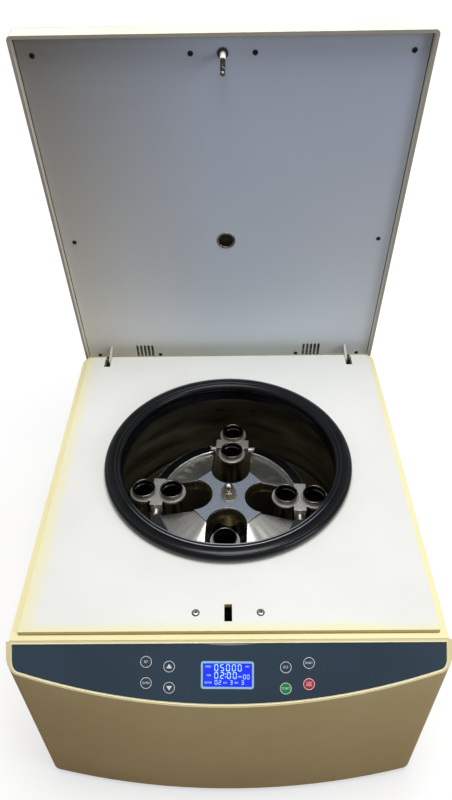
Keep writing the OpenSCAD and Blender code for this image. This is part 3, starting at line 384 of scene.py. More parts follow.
bowl_steel, tree, shader = finish("drawn bowl steel", rgb(168, 156, 126), 0.3, 1.0)
drawn, radius, turn, parts = rings(tree, 30.0)
streak_at = add(tree, "ShaderNodeCombineXYZ", X=sums("MULTIPLY", turn, 1.1),
                Y=sums("MULTIPLY", parts["Z"], 26.0)).outputs[0]
# Streaks round the wall: partly the steel's own tone, partly a painted reflection, golden at their bright
# end.
streak_and_reflection = noise(streak_at, 1.3, 2.0)
metal = blend(spread(streak_and_reflection, 0.35, 0.7), rgb(178, 176, 164), rgb(247, 237, 206))
# Painted shade: the wall is painted darker towards the top of the bowl.
upper = spread(parts["Z"], -0.02, 0.07)
metal = blend(upper, metal, rgb(142, 143, 140))
floor_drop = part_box("chamber_bowl")[0].z - rotor_axis.z
shaded_floor = spread(parts["Z"], floor_drop + 0.003, floor_drop + 0.015, 1.0, 0.0)
metal = blend(shaded_floor, metal, rgb(62, 58, 48))
skin(shader, metal, spread(streak_and_reflection, 0.3, 0.7, 0.24, 0.42))
relief(shader, noise(streak_at, 3.0, 2.0), 0.0003, 0.08)


def turned(name, colour, second, roughness):
    material, tree, shader = finish(name, rgb(*colour), roughness, 1.0)
    cut = rings(tree, 900.0)[0]
    patch = noise(place(tree), 22.0, 4.0)
    mixed = blend(spread(cut, 0.3, 0.7), rgb(*colour), rgb(*second))
    mixed = blend(spread(patch, 0.4, 0.7, 0.0, 0.3), mixed, rgb(*second))
    smear = spread(cut, 0.25, 0.75, roughness - 0.08, roughness + 0.12)
    skin(shader, worn(mixed, rgb(235, 232, 226), 0.7), smear)
    relief(shader, cut, 0.0002, 0.35)
    return material


def machined(name, colour, second, roughness, grain, along=None, metallic=1.0):
    material, tree, shader = finish(name, rgb(*colour), roughness, metallic)
    cut = noise(place(tree, scale=(grain, grain, along or grain)), 1.0, 4.0)
    mixed = blend(spread(cut, 0.3, 0.7), rgb(*colour), rgb(*second))
    smear = spread(cut, 0.3, 0.7, roughness - 0.06, roughness + 0.08)
    skin(shader, worn(mixed, rgb(240, 238, 232), 0.8), smear)
    relief(shader, cut, 0.0001, 0.2)
    return material


rotor_metal = turned("turned aluminium", (190, 187, 180), (138, 137, 133), 0.31)
rotor_rim = turned("polished rotor rim", (92, 94, 98), (72, 74, 78), 0.2)
slot_metal = machined("milled slot wall", (232, 220, 176), (186, 172, 128), 0.3, 700.0, 20.0)
hub_metal = machined("blue-grey hub plate", (158, 166, 176), (136, 144, 155), 0.4, 260.0, metallic=0.75)
bucket_metal = machined("satin bucket plate", (214, 210, 203), (184, 180, 173), 0.36, 320.0, 60.0,
                        metallic=0.85)
steel = machined("polished sleeve steel", (205, 200, 190), (165, 158, 144), 0.18, 500.0, 30.0)
screw_steel = machined("screw steel", (205, 205, 203), (160, 160, 158), 0.28, 400.0)
brass = machined("nickel brass", (176, 164, 138), (112, 102, 82), 0.2, 300.0, 500.0)
rim_steel = machined("dark rolled rim", (120, 117, 110), (84, 82, 77), 0.16, 500.0, 60.0)
# Painted highlight: the collar of the striker pin is painted near white.
pin_collar_highlight = machined("pin collar with painted highlight", (252, 252, 250), (236, 236, 234), 0.5, 300.0, metallic=0.1)
# A darker steel, used for the heads of the liner's screws.
dark_screw = machined("dark screw steel", (74, 74, 76), (40, 40, 42), 0.25, 400.0)
# Painted highlight: a bright sliver at the top of the panel.
sliver_highlight = machined("panel top, painted highlight", (190, 194, 196), (160, 164, 166), 0.35, 200.0)
grommet_rubber = paint("grommet rubber", (34, 34, 36), (26, 26, 28), (70, 70, 72), 0.45, 600.0)
# Painted shade: the bores of the tube sleeves are painted near black.
bore_painted_shade = machined("dark bore", (26, 25, 23), (14, 14, 13), 0.4, 60.0, metallic=0.6)
# Near black: painted shade in the screw recesses and in the liner's side gaps, and the colour of the gasket's
# joint.
recess = paint("dark recess", (12, 12, 12), (8, 8, 8), (20, 20, 20), 0.6)
board_green = paint("circuit board", (26, 92, 58), (18, 70, 44), (90, 140, 110), 0.35, 160.0)

lens_glass, tree, shader = finish("sight lens", rgb(60, 64, 66), 0.06, coat=0.6)
smear = spread(noise(place(tree), 160.0), 0.3, 0.7, 0.03, 0.12)
cloud = noise(place(tree), 40.0)
skin(shader, blend(cloud, rgb(40, 43, 45), rgb(74, 78, 80)), smear)


def glowing(name, colour, second, glow):
    material, tree, shader = finish(name, rgb(*colour), 0.25, coat=0.5, coat_roughness=0.08)
    shimmer = spread(noise(place(tree), 55.0, 2.0), 0.3, 0.7)
    mixed = blend(shimmer, rgb(*colour), rgb(*second))
    skin(shader, mixed)
    wire(mixed, shader.inputs["Emission Color"])
    shader.inputs["Emission Strength"].default_value = glow
    return material


display_blue = glowing("display blue", (14, 44, 246), (4, 24, 232), 0.75)
display_ink = glowing("display figures", (176, 226, 255), (150, 210, 252), 0.8)
border_ink = glowing("display border", (170, 214, 240), (150, 196, 226), 0.05)
legend = paint("legend ink", (232, 236, 240), (220, 225, 230), (240, 240, 240), 0.5)
key_slate = paint("slate key", (50, 66, 84), (42, 57, 74), (110, 125, 140), 0.36, 600.0)
key_green = paint("green key", (20, 150, 78), (14, 132, 66), (90, 200, 140), 0.36, 600.0)
key_red = paint("red key", (196, 36, 52), (176, 28, 44), (230, 110, 118), 0.36, 600.0)
print(len(bpy.data.materials), "finishes in all")

# %% [markdown]
# ## Rounded edges for the solid parts
#
# A real sheet or casting has no sharp edge, and a small radius is what catches the light. Each
# solid is copied, its loose triangles are welded, flat triangles are joined into flat faces, and
# its sharp edges are rounded by the radius that suits the part. The narrow new faces carry the
# edge mark that the paints read.


def body_of(node):
    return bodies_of(frame["nodes"][node])[0]


def corners_of(node):
    return [v.co for v in frame["nodes"][node].data.vertices]


def link(name, mesh, body, *stands_for):
    made = put(name, mesh)
    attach(made, body)
    if stands_for:
        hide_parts(*stands_for)
    return made


def welded(*nodes):
    form = bmesh.new()
    for node in nodes:
        form.from_mesh(frame["nodes"][node].data)
    bmesh.ops.remove_doubles(form, verts=form.verts, dist=2e-6)
    return form


def mesh_from(form, name, *materials):
    mesh = bpy.data.meshes.new(name)
    form.to_mesh(mesh)
    form.free()
    for material in materials:
        mesh.materials.append(material)
    return mesh


def shade(mesh):
    mesh.set_sharp_from_angle(angle=math.radians(38))
    curved = [item.value != 0 for item in mesh.attributes["bent"].data]
    mesh.polygons.foreach_set("use_smooth", curved)
    for spare in ("bent", "custom_normal"):
        if spare in mesh.attributes:
            mesh.attributes.remove(mesh.attributes[spare])


wide_face = 0.006  # in square metres: a larger face is flat, whatever rounds off beside it


def rounded(name, nodes, width, materials, pick=None, flatness=0.4):
    whole = welded(*nodes)
    flat, corner = math.radians(flatness), math.radians(28)
    bmesh.ops.dissolve_limit(whole, angle_limit=flat, verts=whole.verts, edges=whole.edges)
    mark = whole.faces.layers.float.new("edge")
    bent = whole.faces.layers.int.new("bent")
    for face in whole.faces:
        angles = [e.calc_face_angle(0) for e in face.edges if len(e.link_faces) == 2]
        mild = any(flat < angle < corner for angle in angles)
        face[bent] = int(mild and face.calc_area() < wide_face)
    sharp = [e for e in whole.edges if len(e.link_faces) == 2 and e.calc_face_angle(0) > corner]
    made = bmesh.ops.bevel(whole, geom=sharp, offset=width * mm, offset_type="OFFSET", segments=2,
                           profile=0.5, affect="EDGES", clamp_overlap=True, harden_normals=False)
    for face in made["faces"]:
        face[mark] = 1.0
        face[bent] = 1
    if pick:
        for face in whole.faces:
            face.material_index = pick(face)
    bmesh.ops.triangulate(whole, faces=[f for f in whole.faces if len(f.verts) > 4])
    mesh = mesh_from(whole, name, *materials)
    shade(mesh)
    return link(name, mesh, body_of(nodes[0]), *nodes)


plain = [
    ("lid_sheet", "lid_liner", 0.25, liner_paint),
    ("panel_overlay", "control_panel", 0.12, overlay),
    ("display_border", "display_frame", 0.15, border_ink),
    ("display_window", "display_glass", 0.15, display_blue),
    ("pan", "base_pan", 0.5, chassis),
    ("feet", "rubber_feet", 0.8, rubber),
    ("arms", "hinge_arms", 0.4, arm_paint),
    ("brackets", "hinge_brackets", 0.4, chassis),
    ("pins", "hinge_pins", 0.5, screw_steel),
    ("latch_block", "latch_housing", 0.5, black_plastic),
    ("inlet", "mains_inlet", 0.5, black_plastic),
    ("switch_bezel", "switch_frame", 0.5, black_plastic),
    ("rocker", "power_rocker", 0.4, black_plastic),
    ("hub", "hub_plate", 0.35, hub_metal),
    ("washer", "rotor_washer", 0.35, screw_steel),
    ("hex_nut", "rotor_nut", 0.9, brass),
    ("cap_nut", "dome_nut", 0.3, screw_steel),
    ("sight_sleeve", "sight_tube", 0.35, steel),
    ("spindle", "drive_spindle", 0.5, steel),
    ("guard", "guard_ring", 0.3, chassis),
    ("stand", "motor_stand", 0.4, chassis),
    ("dampers", "vibration_dampers", 0.6, rubber),
    ("mount_plate", "motor_mount", 0.4, chassis),
    ("motor", "motor_housing", 0.8, motor_paint),
    ("core", "motor_core", 0.4, screw_steel),
    ("bearings", "motor_bearings", 0.3, screw_steel),
    ("seal", "shaft_seal", 0.3, rubber),
    ("keypad", "keypad_board", 0.1, board_green),
    ("inverter", "inverter_board", 0.2, board_green),
    ("solenoid", "latch_solenoid", 0.4, black_plastic),
    ("bolt", "latch_bolt", 0.3, screw_steel),
    ("grommet", "striker_grommet", 0.4, grommet_rubber),
    ("lens", "sight_lens", 0.15, lens_glass),
]
for name, node, width, material in plain:
    rounded(name, [node], width, [material])
rounded("cabinet", ["cabinet_shell", "cabinet_top"], 1.0, [cream])
# Painted shade: the steep faces of the fascia take the darker copy of the moulding.
rounded("fascia_moulding", ["front_fascia"], 0.9, [moulding, front_painted_shade],
        lambda face: int(abs(face.normal.z) < 0.3), flatness=0.05)
# Painted shade: the deck's steep faces take the yellowed, darker finish.
rounded("deck_sheet", ["deck_plate"], 0.8, [deck_paint, deck_side_shade],
        lambda face: int(abs(face.normal.z) < 0.25))
rounded("lid_moulding", ["lid_shell"], 1.0, [lid_cream, lid_lip], lambda face: int(face.normal.y < -0.8))
sides = ("right", "rear", "left", "front")
for side in sides:
    rounded(side + "_plate", [side + "_bucket"], 0.45, [bucket_metal])
keys = ("set", "enter", "up", "down", "force", "start", "short", "stop")
for key in keys:
    rounded(key + "_cap", [key + "_key"], 0.2, [{"start": key_green, "stop": key_red}.get(key, key_slate)])

# %% Rotor casting, with polished walls in its slots
slot_reach, rim_reach = 103 * mm, 102.5 * mm


def off_axis(point):
    return math.hypot(point.x - rotor_axis.x, point.y - rotor_axis.y)


def rotor_face(face):
    if abs(face.normal.z) < 0.3 and off_axis(face.calc_center_median()) < slot_reach:
        return 1
    return 2 if face.normal.z > 0.9 and min(off_axis(v.co) for v in face.verts) > rim_reach else 0


rotor_finishes = [rotor_metal, slot_metal, rotor_rim]
rotor_casting = rounded("rotor_casting", ["rotor_head"], 0.7, rotor_finishes, rotor_face)
print("faces in the slots:", sum(f.material_index == 1 for f in rotor_casting.data.polygons))

# %% Striker pin, with a painted highlight near its collar and darker along its thread
pin_root = max(corners_of("striker_pin"), key=lambda c: c.y)
collar_reach = 19 * mm
rounded("striker", ["striker_pin"], 0.35, [pin_collar_highlight, rim_steel],
        lambda face: int((face.calc_center_median() - pin_root).length > collar_reach))
print("the striker's collar reaches", round(collar_reach / mm), "mm from its root")

# %% [markdown]
# ## Round parts turned again
#
# The bowl, the tube sleeves and their rims are bodies of revolution. They are turned here from a
# profile, a list of radius and height, so that their walls are smooth enough to mirror. A profile
# is the drawing a spinner or a lathe hand would work from.

# %% Turning helper, bowl and tube sleeves
def polar(radius, angle, x=0.0, y=0.0):
    return x + radius * math.cos(angle), y + radius * math.sin(angle)


def around(radius, steps, x=0.0, y=0.0):
    return [polar(radius, math.tau * k / steps, x, y) for k in range(steps)]


def bridge(form, lower, upper):
    count = len(lower)
    return [form.faces.new((lower[k], lower[(k + 1) % count], upper[(k + 1) % count], upper[k]))
            for k in range(count)]


def turning(name, profile, centre, steps, materials, kinds=None):
    form = bmesh.new()
    loops = []
    for radius, height in profile:
        spots = around(radius, steps, centre.x, centre.y) if radius > 1e-6 else [(centre.x, centre.y)]
        loops.append([form.verts.new((x, y, height)) for x, y in spots])
    for index, (lower, upper) in enumerate(zip(loops, loops[1:])):
        for k in range(steps):
            steps_round = ((lower, k), (lower, k + 1), (upper, k + 1), (upper, k))
            corners = list(dict.fromkeys(loop[at % len(loop)] for loop, at in steps_round))
            if len(corners) > 2:
                face = form.faces.new(corners)
                face.smooth = True
                face.material_index = kinds[index] if kinds else 0
    bmesh.ops.recalc_face_normals(form, faces=form.faces)
    mesh = mesh_from(form, name, *materials)
    mesh.set_sharp_from_angle(angle=math.radians(35))
    return mesh


def arc(centre_r, centre_z, radius, start, end, count):
    turns = [math.radians(start + (end - start) * k / count) for k in range(count + 1)]
    return [polar(radius, turn, centre_r, centre_z) for turn in turns]


def gather(name, meshes, *materials):
    whole = bmesh.new()
    for mesh in meshes:
        whole.from_mesh(mesh)
    return mesh_from(whole, name, *materials)


def islands(node):
    form = welded(node)
    seen, groups = set(), []
    for vert in form.verts:
        if vert in seen:
            continue
        stack, members = [vert], []
        seen.add(vert)
        while stack:
            item = stack.pop()
            members.append(item.co.copy())
            for edge in item.link_edges:
                other = edge.other_vert(item)
                if other not in seen:
                    seen.add(other)
                    stack.append(other)
        groups.append(members)
    form.free()
    return groups


def radii(node):
    return [(off_axis(corner), corner.z) for corner in corners_of(node)]


bowl_low, bowl_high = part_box("chamber_bowl")
inner = radii("chamber_bowl")
wall = max(r for r, z in inner)
sheet_t = 0.0015
neck = min(r for r, z in inner if z > bowl_high.z - 0.0005)
floor_hole = min(r for r, z in inner)
floor_z = bowl_low.z + sheet_t
roof_z = max(z for r, z in inner if r > wall - 0.02) - sheet_t
bend = 0.005
inside = [(floor_hole, floor_z)] + arc(wall - sheet_t - bend, floor_z + bend, bend, -90, 0, 6)
inside += arc(wall - sheet_t - bend, roof_z - bend, bend, 0, 90, 6) + [(neck, roof_z), (neck, bowl_high.z)]
outside = [(neck + sheet_t, bowl_high.z), (neck + sheet_t, roof_z + sheet_t)]
outside += arc(wall - bend, roof_z + sheet_t - bend, bend, 90, 0, 6)
outside += arc(wall - bend, bowl_low.z + bend, bend, 0, -90, 6)
outside += [(floor_hole, bowl_low.z), (floor_hole, floor_z)]
skins = [0] * (len(inside + outside) - 1)
skins[len(inside) - 2] = 1
bowl_mesh = turning("bowl", inside + outside, rotor_axis, 128, [bowl_steel, rubber], skins)
link("bowl", bowl_mesh, "base", "chamber_bowl")
print("bowl: wall radius", round(wall / mm, 1), "mm, neck", round(neck / mm, 1), "mm")

bores = []
lip, chamfer, groove = 0.0009, 0.0003, 0.0007
sleeve_finishes = [steel, bore_painted_shade, rim_steel, bucket_metal]
for side in sides:
    meshes = []
    for members in islands(side + "_tubes"):
        low = Vector([min(v[k] for v in members) for k in range(3)])
        high = Vector([max(v[k] for v in members) for k in range(3)])
        middle = (low + high) / 2
        spans = [(math.hypot(v.x - middle.x, v.y - middle.y), v.z) for v in members]
        rim = [r for r, z in spans if z > high.z - 0.0002]
        outer, bore = max(rim), min(rim)
        collar = max(r for r, z in spans)
        collar_z = max(z for r, z in spans if r > collar - chamfer)
        round_z = low.z + outer
        profile = [(0, low.z)] + arc(0, round_z, outer, -80, 0, 8)
        profile += [(outer, collar_z - 0.0016), (collar - chamfer, collar_z - 0.0015),
                    (collar, collar_z - 0.0012), (collar, collar_z - chamfer),
                    (collar - chamfer, collar_z), (outer, collar_z)]
        rim_from = len(profile) - 1
        profile += arc(outer - chamfer, high.z - lip, lip, -60, 180, 10)
        # Painted shade: the bore from here down takes the near-black finish.
        dark_from = len(profile)
        profile += [(bore, high.z - 0.0012), (bore, high.z - 0.0085), (bore - groove, high.z - 0.0092),
                    (bore - groove, high.z - 0.0104), (bore, high.z - 0.0111)]
        profile += arc(0, round_z, bore, 0, -80, 8) + [(0, round_z - bore)]
        kinds = [0] * (len(profile) - 1)
        for index in range(rim_from, len(kinds)):
            kinds[index] = 2 if index < dark_from else 1
        kinds[dark_from + 1] = kinds[dark_from + 2] = 2
        kinds[rim_from - 5:rim_from] = [3] * 5
        meshes.append(turning("sleeve", profile, middle, 48, sleeve_finishes, kinds))
        bores.append(bore)
    both = gather(side + "_sleeves", meshes, *sleeve_finishes)
    both.set_sharp_from_angle(angle=math.radians(35))
    link(side + "_sleeves", both, side + "_swing", side + "_tubes")
print(len(bores), "tube sleeves, bore", round(bores[0] / mm, 2), "mm")

# %% [markdown]
# ## A tree that sweeps a profile
#
# The gasket is one profile carried round a circle, and the moulded beads of the fascia are one
# small profile carried along the outline of the panel. Both come from the same Geometry Nodes
# tree: the path is the geometry of the object, and named inputs set the size of the profile. A
# change of one number reshapes the whole length, which hand modelling could not do.

# %% Geometry Nodes helpers
def new_tree(name, sizes):
    tree = bpy.data.node_groups.new(name, "GeometryNodeTree")
    tree.interface.new_socket("Geometry", in_out="INPUT", socket_type="NodeSocketGeometry")
    for label, value in sizes.items():
        kind = {int: "Int", float: "Float", bpy.types.Material: "Material"}.get(type(value), "Object")
        socket = tree.interface.new_socket(label, in_out="INPUT", socket_type="NodeSocket" + kind)
        if kind in ("Int", "Float"):
            socket.default_value = value
    tree.interface.new_socket("Geometry", in_out="OUTPUT", socket_type="NodeSocketGeometry")
    return tree, tree.nodes.new("NodeGroupInput").outputs, tree.nodes.new("NodeGroupOutput")


def close_tree(tree, geometry, material, output):
    real = add(tree, "GeometryNodeRealizeInstances", Geometry=geometry).outputs[0]
    smooth = add(tree, "GeometryNodeSetShadeSmooth", Geometry=real).outputs[0]
    done = add(tree, "GeometryNodeSetMaterial", Geometry=smooth, Material=material).outputs[0]
    wire(done, output.inputs[0])


def meshed(source):
    bpy.context.view_layer.update()
    result = bpy.data.meshes.new_from_object(source.evaluated_get(bpy.context.evaluated_depsgraph_get()))
    bpy.data.objects.remove(source)
    return result


def grown(name, mesh, tree, sizes):
    source = put(name, mesh)
    modifier = source.modifiers.new("grow", "NODES")
    modifier.node_group = tree
    for item in tree.interface.items_tree:
        if item.item_type == "SOCKET" and item.in_out == "INPUT" and item.name in sizes:
            modifier[item.identifier] = sizes[item.name]
    result = meshed(source)
    result.name = name
    result.set_sharp_from_angle(angle=math.radians(40))
    return result


sweep_sizes = {"Half width": 0.001, "Half height": 0.001, "Corner": 2.0, "Steps": 12, "Finish": moulding}
sweep, given, end = new_tree("sweep a rounded section", sweep_sizes)
path = add(sweep, "GeometryNodeMeshToCurve", Mesh=given["Geometry"]).outputs[0]
section = add(sweep, "GeometryNodeCurvePrimitiveCircle", Resolution=given["Steps"], Radius=1.0).outputs[0]
spot = add(sweep, "GeometryNodeInputPosition").outputs[0]
axes = add(sweep, "ShaderNodeSeparateXYZ", Vector=spot).outputs


def squared(value, size):
    power = sums("DIVIDE", 2.0, given["Corner"])
    grow = sums("POWER", sums("ABSOLUTE", value, 0.0), power)
    return sums("MULTIPLY", sums("MULTIPLY", grow, sums("SIGN", value, 0.0)), size)


shape = add(sweep, "ShaderNodeCombineXYZ", X=squared(axes["X"], given["Half width"]),
            Y=squared(axes["Y"], given["Half height"])).outputs[0]
section = add(sweep, "GeometryNodeSetPosition", Geometry=section, Position=shape).outputs[0]
swept = add(sweep, "GeometryNodeCurveToMesh", i0=path, i1=section).outputs[0]
close_tree(sweep, swept, given["Finish"], end)


def closed_path(points):
    mesh = bpy.data.meshes.new("path")
    mesh.from_pydata(points, [(k, (k + 1) % len(points)) for k in range(len(points))], [])
    return mesh


def sweep_along(name, points, wide, high, corner, steps, material):
    sizes = {"Half width": wide, "Half height": high, "Corner": corner, "Steps": steps, "Finish": material}
    return grown(name, closed_path(points), sweep, sizes)


ring_steps = 160
gasket_low, gasket_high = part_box("chamber_gasket")
gasket_out = (gasket_high.x - gasket_low.x) / 2
ring_points = radii("chamber_gasket")
deck_z = deck_high.z
gasket_in = min(r for r, z in ring_points if z > deck_z + 0.001)
half_w = (gasket_out - gasket_in) / 2
half_h = (gasket_high.z - deck_z) / 2
gasket_mid = (gasket_out + gasket_in) / 2


def gasket_ring(radius, height, wide, high, corner, steps, material):
    circle = [(x, y, height) for x, y in around(radius, ring_steps, rotor_axis.x, rotor_axis.y)]
    return sweep_along("ring", circle, wide, high, corner, steps, material)


lip_r, sunk, spare = 0.9 * mm, 0.5 * mm, 0.5 * mm
fullness, section_steps = 2.3, 40
low_half = half_h - spare
gasket_rings = [gasket_ring(gasket_mid, deck_z + low_half, half_w, low_half, fullness, section_steps, rubber)]
for radius in (gasket_in + 3.6 * mm, gasket_in + 8.4 * mm, gasket_out - 5.2 * mm):
    share = abs(radius - gasket_mid) / half_w
    surface = deck_z + low_half * (1 + (1 - share ** fullness) ** (1 / fullness))
    gasket_rings.append(gasket_ring(radius, surface - sunk, lip_r, lip_r, 2.0, 10, ridge_painted_highlight))
skirt_in = min(r for r, z in ring_points if z < deck_z - 0.002)
skirt_out = max(r for r, z in ring_points if z < deck_z - 0.006)
skirt_top = deck_z + 2 * mm
skirt = [(skirt_in, gasket_low.z), (skirt_out, gasket_low.z), (skirt_out, skirt_top),
         (skirt_in, skirt_top), (skirt_in, gasket_low.z)]
gasket_rings.insert(1, turning("skirt", skirt, rotor_axis, ring_steps, [rubber]))
whole = bmesh.new()
for index, mesh in enumerate(gasket_rings):
    before = len(whole.faces)
    whole.from_mesh(mesh)
    whole.faces.ensure_lookup_table()
    for face in whole.faces[before:]:
        face.material_index = int(index > 1)
gasket_mesh = mesh_from(whole, "gasket", rubber, ridge_painted_highlight)
print("gasket:", len(gasket_mesh.polygons), "faces,", round(2 * half_w / mm, 1), "mm wide")
link("gasket", gasket_mesh, "base", "chamber_gasket")

# %% The butt joint of the gasket, a thin dark cut at the back
joint = bmesh.new()
cut = []
for cut_side in (-0.25 * mm, 0.25 * mm):
    loop = []
    for along, up in around(1.0, section_steps):
        wide, high = (math.copysign(abs(part) ** (2 / fullness), part) for part in (along, up))
        loop.append(joint.verts.new((rotor_axis.x + cut_side, rotor_y + gasket_mid + wide * half_w * 1.004,
                                     deck_z + low_half + high * low_half * 1.02)))
    cut.append(loop)
    joint.faces.new(loop)
bridge(joint, *cut)
bmesh.ops.recalc_face_normals(joint, faces=joint.faces)
link("gasket_joint", mesh_from(joint, "gasket_joint", recess), "base")
print("the joint of the gasket is", len(cut[0]), "points round")

# %% [markdown]
# ## Screws made by a tree
#
# Twelve cross-recess screws hold the deck and the liner. One head is drawn as a mesh. A tree puts
# a copy on each point and turns it about the screw's axis by an angle of its own, drawn from a
# fixed seed, because nobody drives twelve screws to the same angle.

# %% Screw heads
def cross_points(arm, half):
    corner = [(arm, -half), (arm, half), (half, half)]
    points = []
    for quarter in range(4):
        c, s = polar(1.0, quarter * math.pi / 2)
        points += [(x * c - y * s, x * s + y * c) for x, y in corner]
    return points


def screw_head(radius, height, normal, metal):
    face_share = 0.8
    outer = around(radius * face_share, 24)
    cross = cross_points(radius * 0.62, radius * 0.15)
    form = bmesh.new()

    def loop(points, level):
        return [form.verts.new((x, y, level)) for x, y in points]

    top, edge = loop(outer, height), loop(cross, height)
    verts = top + edge
    bounds = [[Vector((x, y, 0)) for x, y in points] for points in (outer, cross)]
    for triple in geometry.tessellate_polygon(bounds):
        form.faces.new([verts[k] for k in triple])
    floor = loop([(x * 0.8, y * 0.8) for x, y in cross], height * 0.25)
    # Painted shade: the walls and floor of the cross recess take the near-black finish.
    for face in bridge(form, edge, floor) + [form.faces.new(floor)]:
        face.material_index = 1
    last = top
    for scale, share in ((0.93, 0.86), (1.0, 0.55), (1.0, 0.12), (1.3, 0.1), (1.3, 0.0)):
        wide = scale / face_share
        ring = loop([(x * wide, y * wide) for x, y in outer], height * share)
        for face in bridge(form, last, ring):
            face.material_index = int(scale > 1)
        last = ring
    form.faces.new(last).material_index = 1
    for face in form.faces:
        face.smooth = face.material_index == 0 and abs(face.calc_center_median().z - height) > 1e-5
    bmesh.ops.recalc_face_normals(form, faces=form.faces)
    bmesh.ops.rotate(form, verts=form.verts, matrix=Vector((0, 0, 1)).rotation_difference(normal).to_matrix())
    return mesh_from(form, "screw head", metal, recess)


drive_sizes = {"Seed": 4, "Axis X": 0.0, "Axis Y": 0.0, "Axis Z": 1.0, "Head": None, "Finish": screw_steel}
drive, given, end = new_tree("drive the screws", drive_sizes)
spin = add(drive, "FunctionNodeRandomValue", data_type="FLOAT", Seed=given["Seed"], i2=0.0, i3=math.tau)
axis = add(drive, "ShaderNodeCombineXYZ", X=given["Axis X"], Y=given["Axis Y"], Z=given["Axis Z"]).outputs[0]
spun = add(drive, "FunctionNodeAxisAngleToRotation", Axis=axis, Angle=spin.outputs[1]).outputs[0]
head = add(drive, "GeometryNodeObjectInfo", Object=given["Head"]).outputs["Geometry"]
driven = add(drive, "GeometryNodeInstanceOnPoints", Points=given["Geometry"], Instance=head,
             Rotation=spun).outputs[0]
wire(add(drive, "GeometryNodeRealizeInstances", Geometry=driven).outputs[0], end.inputs[0])


def screws(name, node, normal, radius, height, seed, metal):
    spots = []
    for members in islands(node):
        middle = sum(members, Vector()) / len(members)
        top = max(v.dot(normal) for v in members)
        spots.append(middle + normal * (top - middle.dot(normal) - height))
    points = bpy.data.meshes.new("spots")
    points.from_pydata(spots, [], [])
    template = put("head", screw_head(radius, height, normal, metal))
    axis_sizes = {"Axis X": normal.x, "Axis Y": normal.y, "Axis Z": normal.z}
    mesh = grown(name, points, drive, {"Seed": seed, "Head": template, **axis_sizes})
    bpy.data.objects.remove(template)
    print(name, len(spots), "heads,", len(mesh.polygons), "faces")
    return link(name, mesh, body_of(node), node)


widest = max(frame["nodes"]["lid_liner"].data.polygons, key=lambda face: face.area)
lid_normal = widest.normal.copy() if widest.normal.y < 0 else -widest.normal
print("the liner faces", [round(v, 3) for v in lid_normal])
screws("deck_heads", "deck_screws", Vector((0, 0, 1)), 3.6 * mm, 1.6 * mm, 4, screw_steel)
screws("liner_heads", "liner_screws", lid_normal, 2.6 * mm, 1.2 * mm, 11, dark_screw)

# %% [markdown]
# ## The panel, its keys and its display
#
# Everything on the sloping panel is laid out in a flat frame of its own: u runs to the right, v
# runs up the slope, and lift is the height above the slope. The photograph shows the pattern
# turned by less than a degree, so the frame is turned too. Letters are font curves turned into
# meshes, and each legend rides its own key, so it goes down when the key is pressed.

# %% Frame of the panel and marks on it
press = Vector(joints["set_key_press"]["axis"]).normalized()
slope_out = press if press.z > 0 else -press
pattern_turn = math.radians(-0.7)
flat_u, flat_v = Vector((1, 0, 0)), slope_out.cross(Vector((1, 0, 0)))
panel_u = flat_u * math.cos(pattern_turn) + flat_v * math.sin(pattern_turn)
panel_v = flat_v * math.cos(pattern_turn) - flat_u * math.sin(pattern_turn)
glass_low, glass_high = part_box("display_glass")
panel_origin = (glass_low + glass_high) / 2
key_centres = {key: sum(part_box(key + "_key"), Vector()) / 2 for key in keys}
print("the panel leans back by", round(math.degrees(math.acos(slope_out.z)), 1), "degrees")


def top_of(node):
    return max((corner - panel_origin).dot(slope_out) for corner in corners_of(node))


def panel_point(u, v, lift):
    return panel_origin + panel_u * (u * mm) + panel_v * (v * mm) + slope_out * lift


def flat_faces(name, loops, outward, material):
    form = bmesh.new()
    for loop in loops:
        face = form.faces.new([form.verts.new(point) for point in loop])
        face.normal_update()
        if face.normal.dot(outward) < 0:
            face.normal_flip()
    return mesh_from(form, name, material)


def flat_mesh(name, shapes, lift, material):
    loops = [[panel_point(u, v, lift) for u, v in outline] for outline in shapes]
    return flat_faces(name, loops, slope_out, material)


def lettering(name, words, height, u, v, lift, material, stretch=1.0, bold=0.0):
    curve = bpy.data.curves.new(name, "FONT")
    curve.body, curve.size, curve.offset = words, height * 1.38, bold
    curve.align_x = curve.align_y = "CENTER"
    curve.space_line, curve.resolution_u = 0.8, 4
    mesh = meshed(put(name, curve))
    for vert in mesh.vertices:
        vert.co = panel_point(u + vert.co.x * stretch, v + vert.co.y, lift)
    mesh.name = name
    mesh.materials.clear()
    mesh.materials.append(material)
    return mesh


def at_key(key):
    away = key_centres[key] - panel_origin
    return away.dot(panel_u) / mm, away.dot(panel_v) / mm


def ring_shape(u, v, outer, inner):
    steps = 40
    wide, narrow = around(outer, steps, u, v), around(inner, steps, u, v)
    return [[wide[k], wide[(k + 1) % steps], narrow[(k + 1) % steps], narrow[k]] for k in range(steps)]


ink_lift = 0.00004
legends = {"set": ("SET", 2.9), "enter": ("ENTER", 2.5), "force": ("RCF", 2.9), "start": ("START", 2.7),
           "short": ("SHORT", 2.5), "stop": ("STOP\nOPEN", 2.4)}
for key in keys:
    u, v = at_key(key)
    lift = top_of(key + "_key") + ink_lift
    marks = [flat_mesh(key + "_ring", ring_shape(u, v, 6.5, 5.85), lift, legend)]
    if key in legends:
        words, height = legends[key]
        marks.append(lettering(key + "_word", words, height, u, v, lift, legend, 0.8, 0.012))
    else:
        tip = 3.2 if key == "up" else -3.2
        arrow = [(u - 3.3, v - tip * 0.62), (u + 3.3, v - tip * 0.62), (u, v + tip)]
        marks.append(flat_mesh(key + "_arrow", [arrow], lift, legend))
    link(key + "_legend", gather(key + "_legend", marks, legend), body_of(key + "_key"))
print("legends on", len(keys), "keys")

# %% Figures and words on the display
segments = {"0": "abcdef", "2": "abged", "3": "abgcd", "5": "afgcd"}


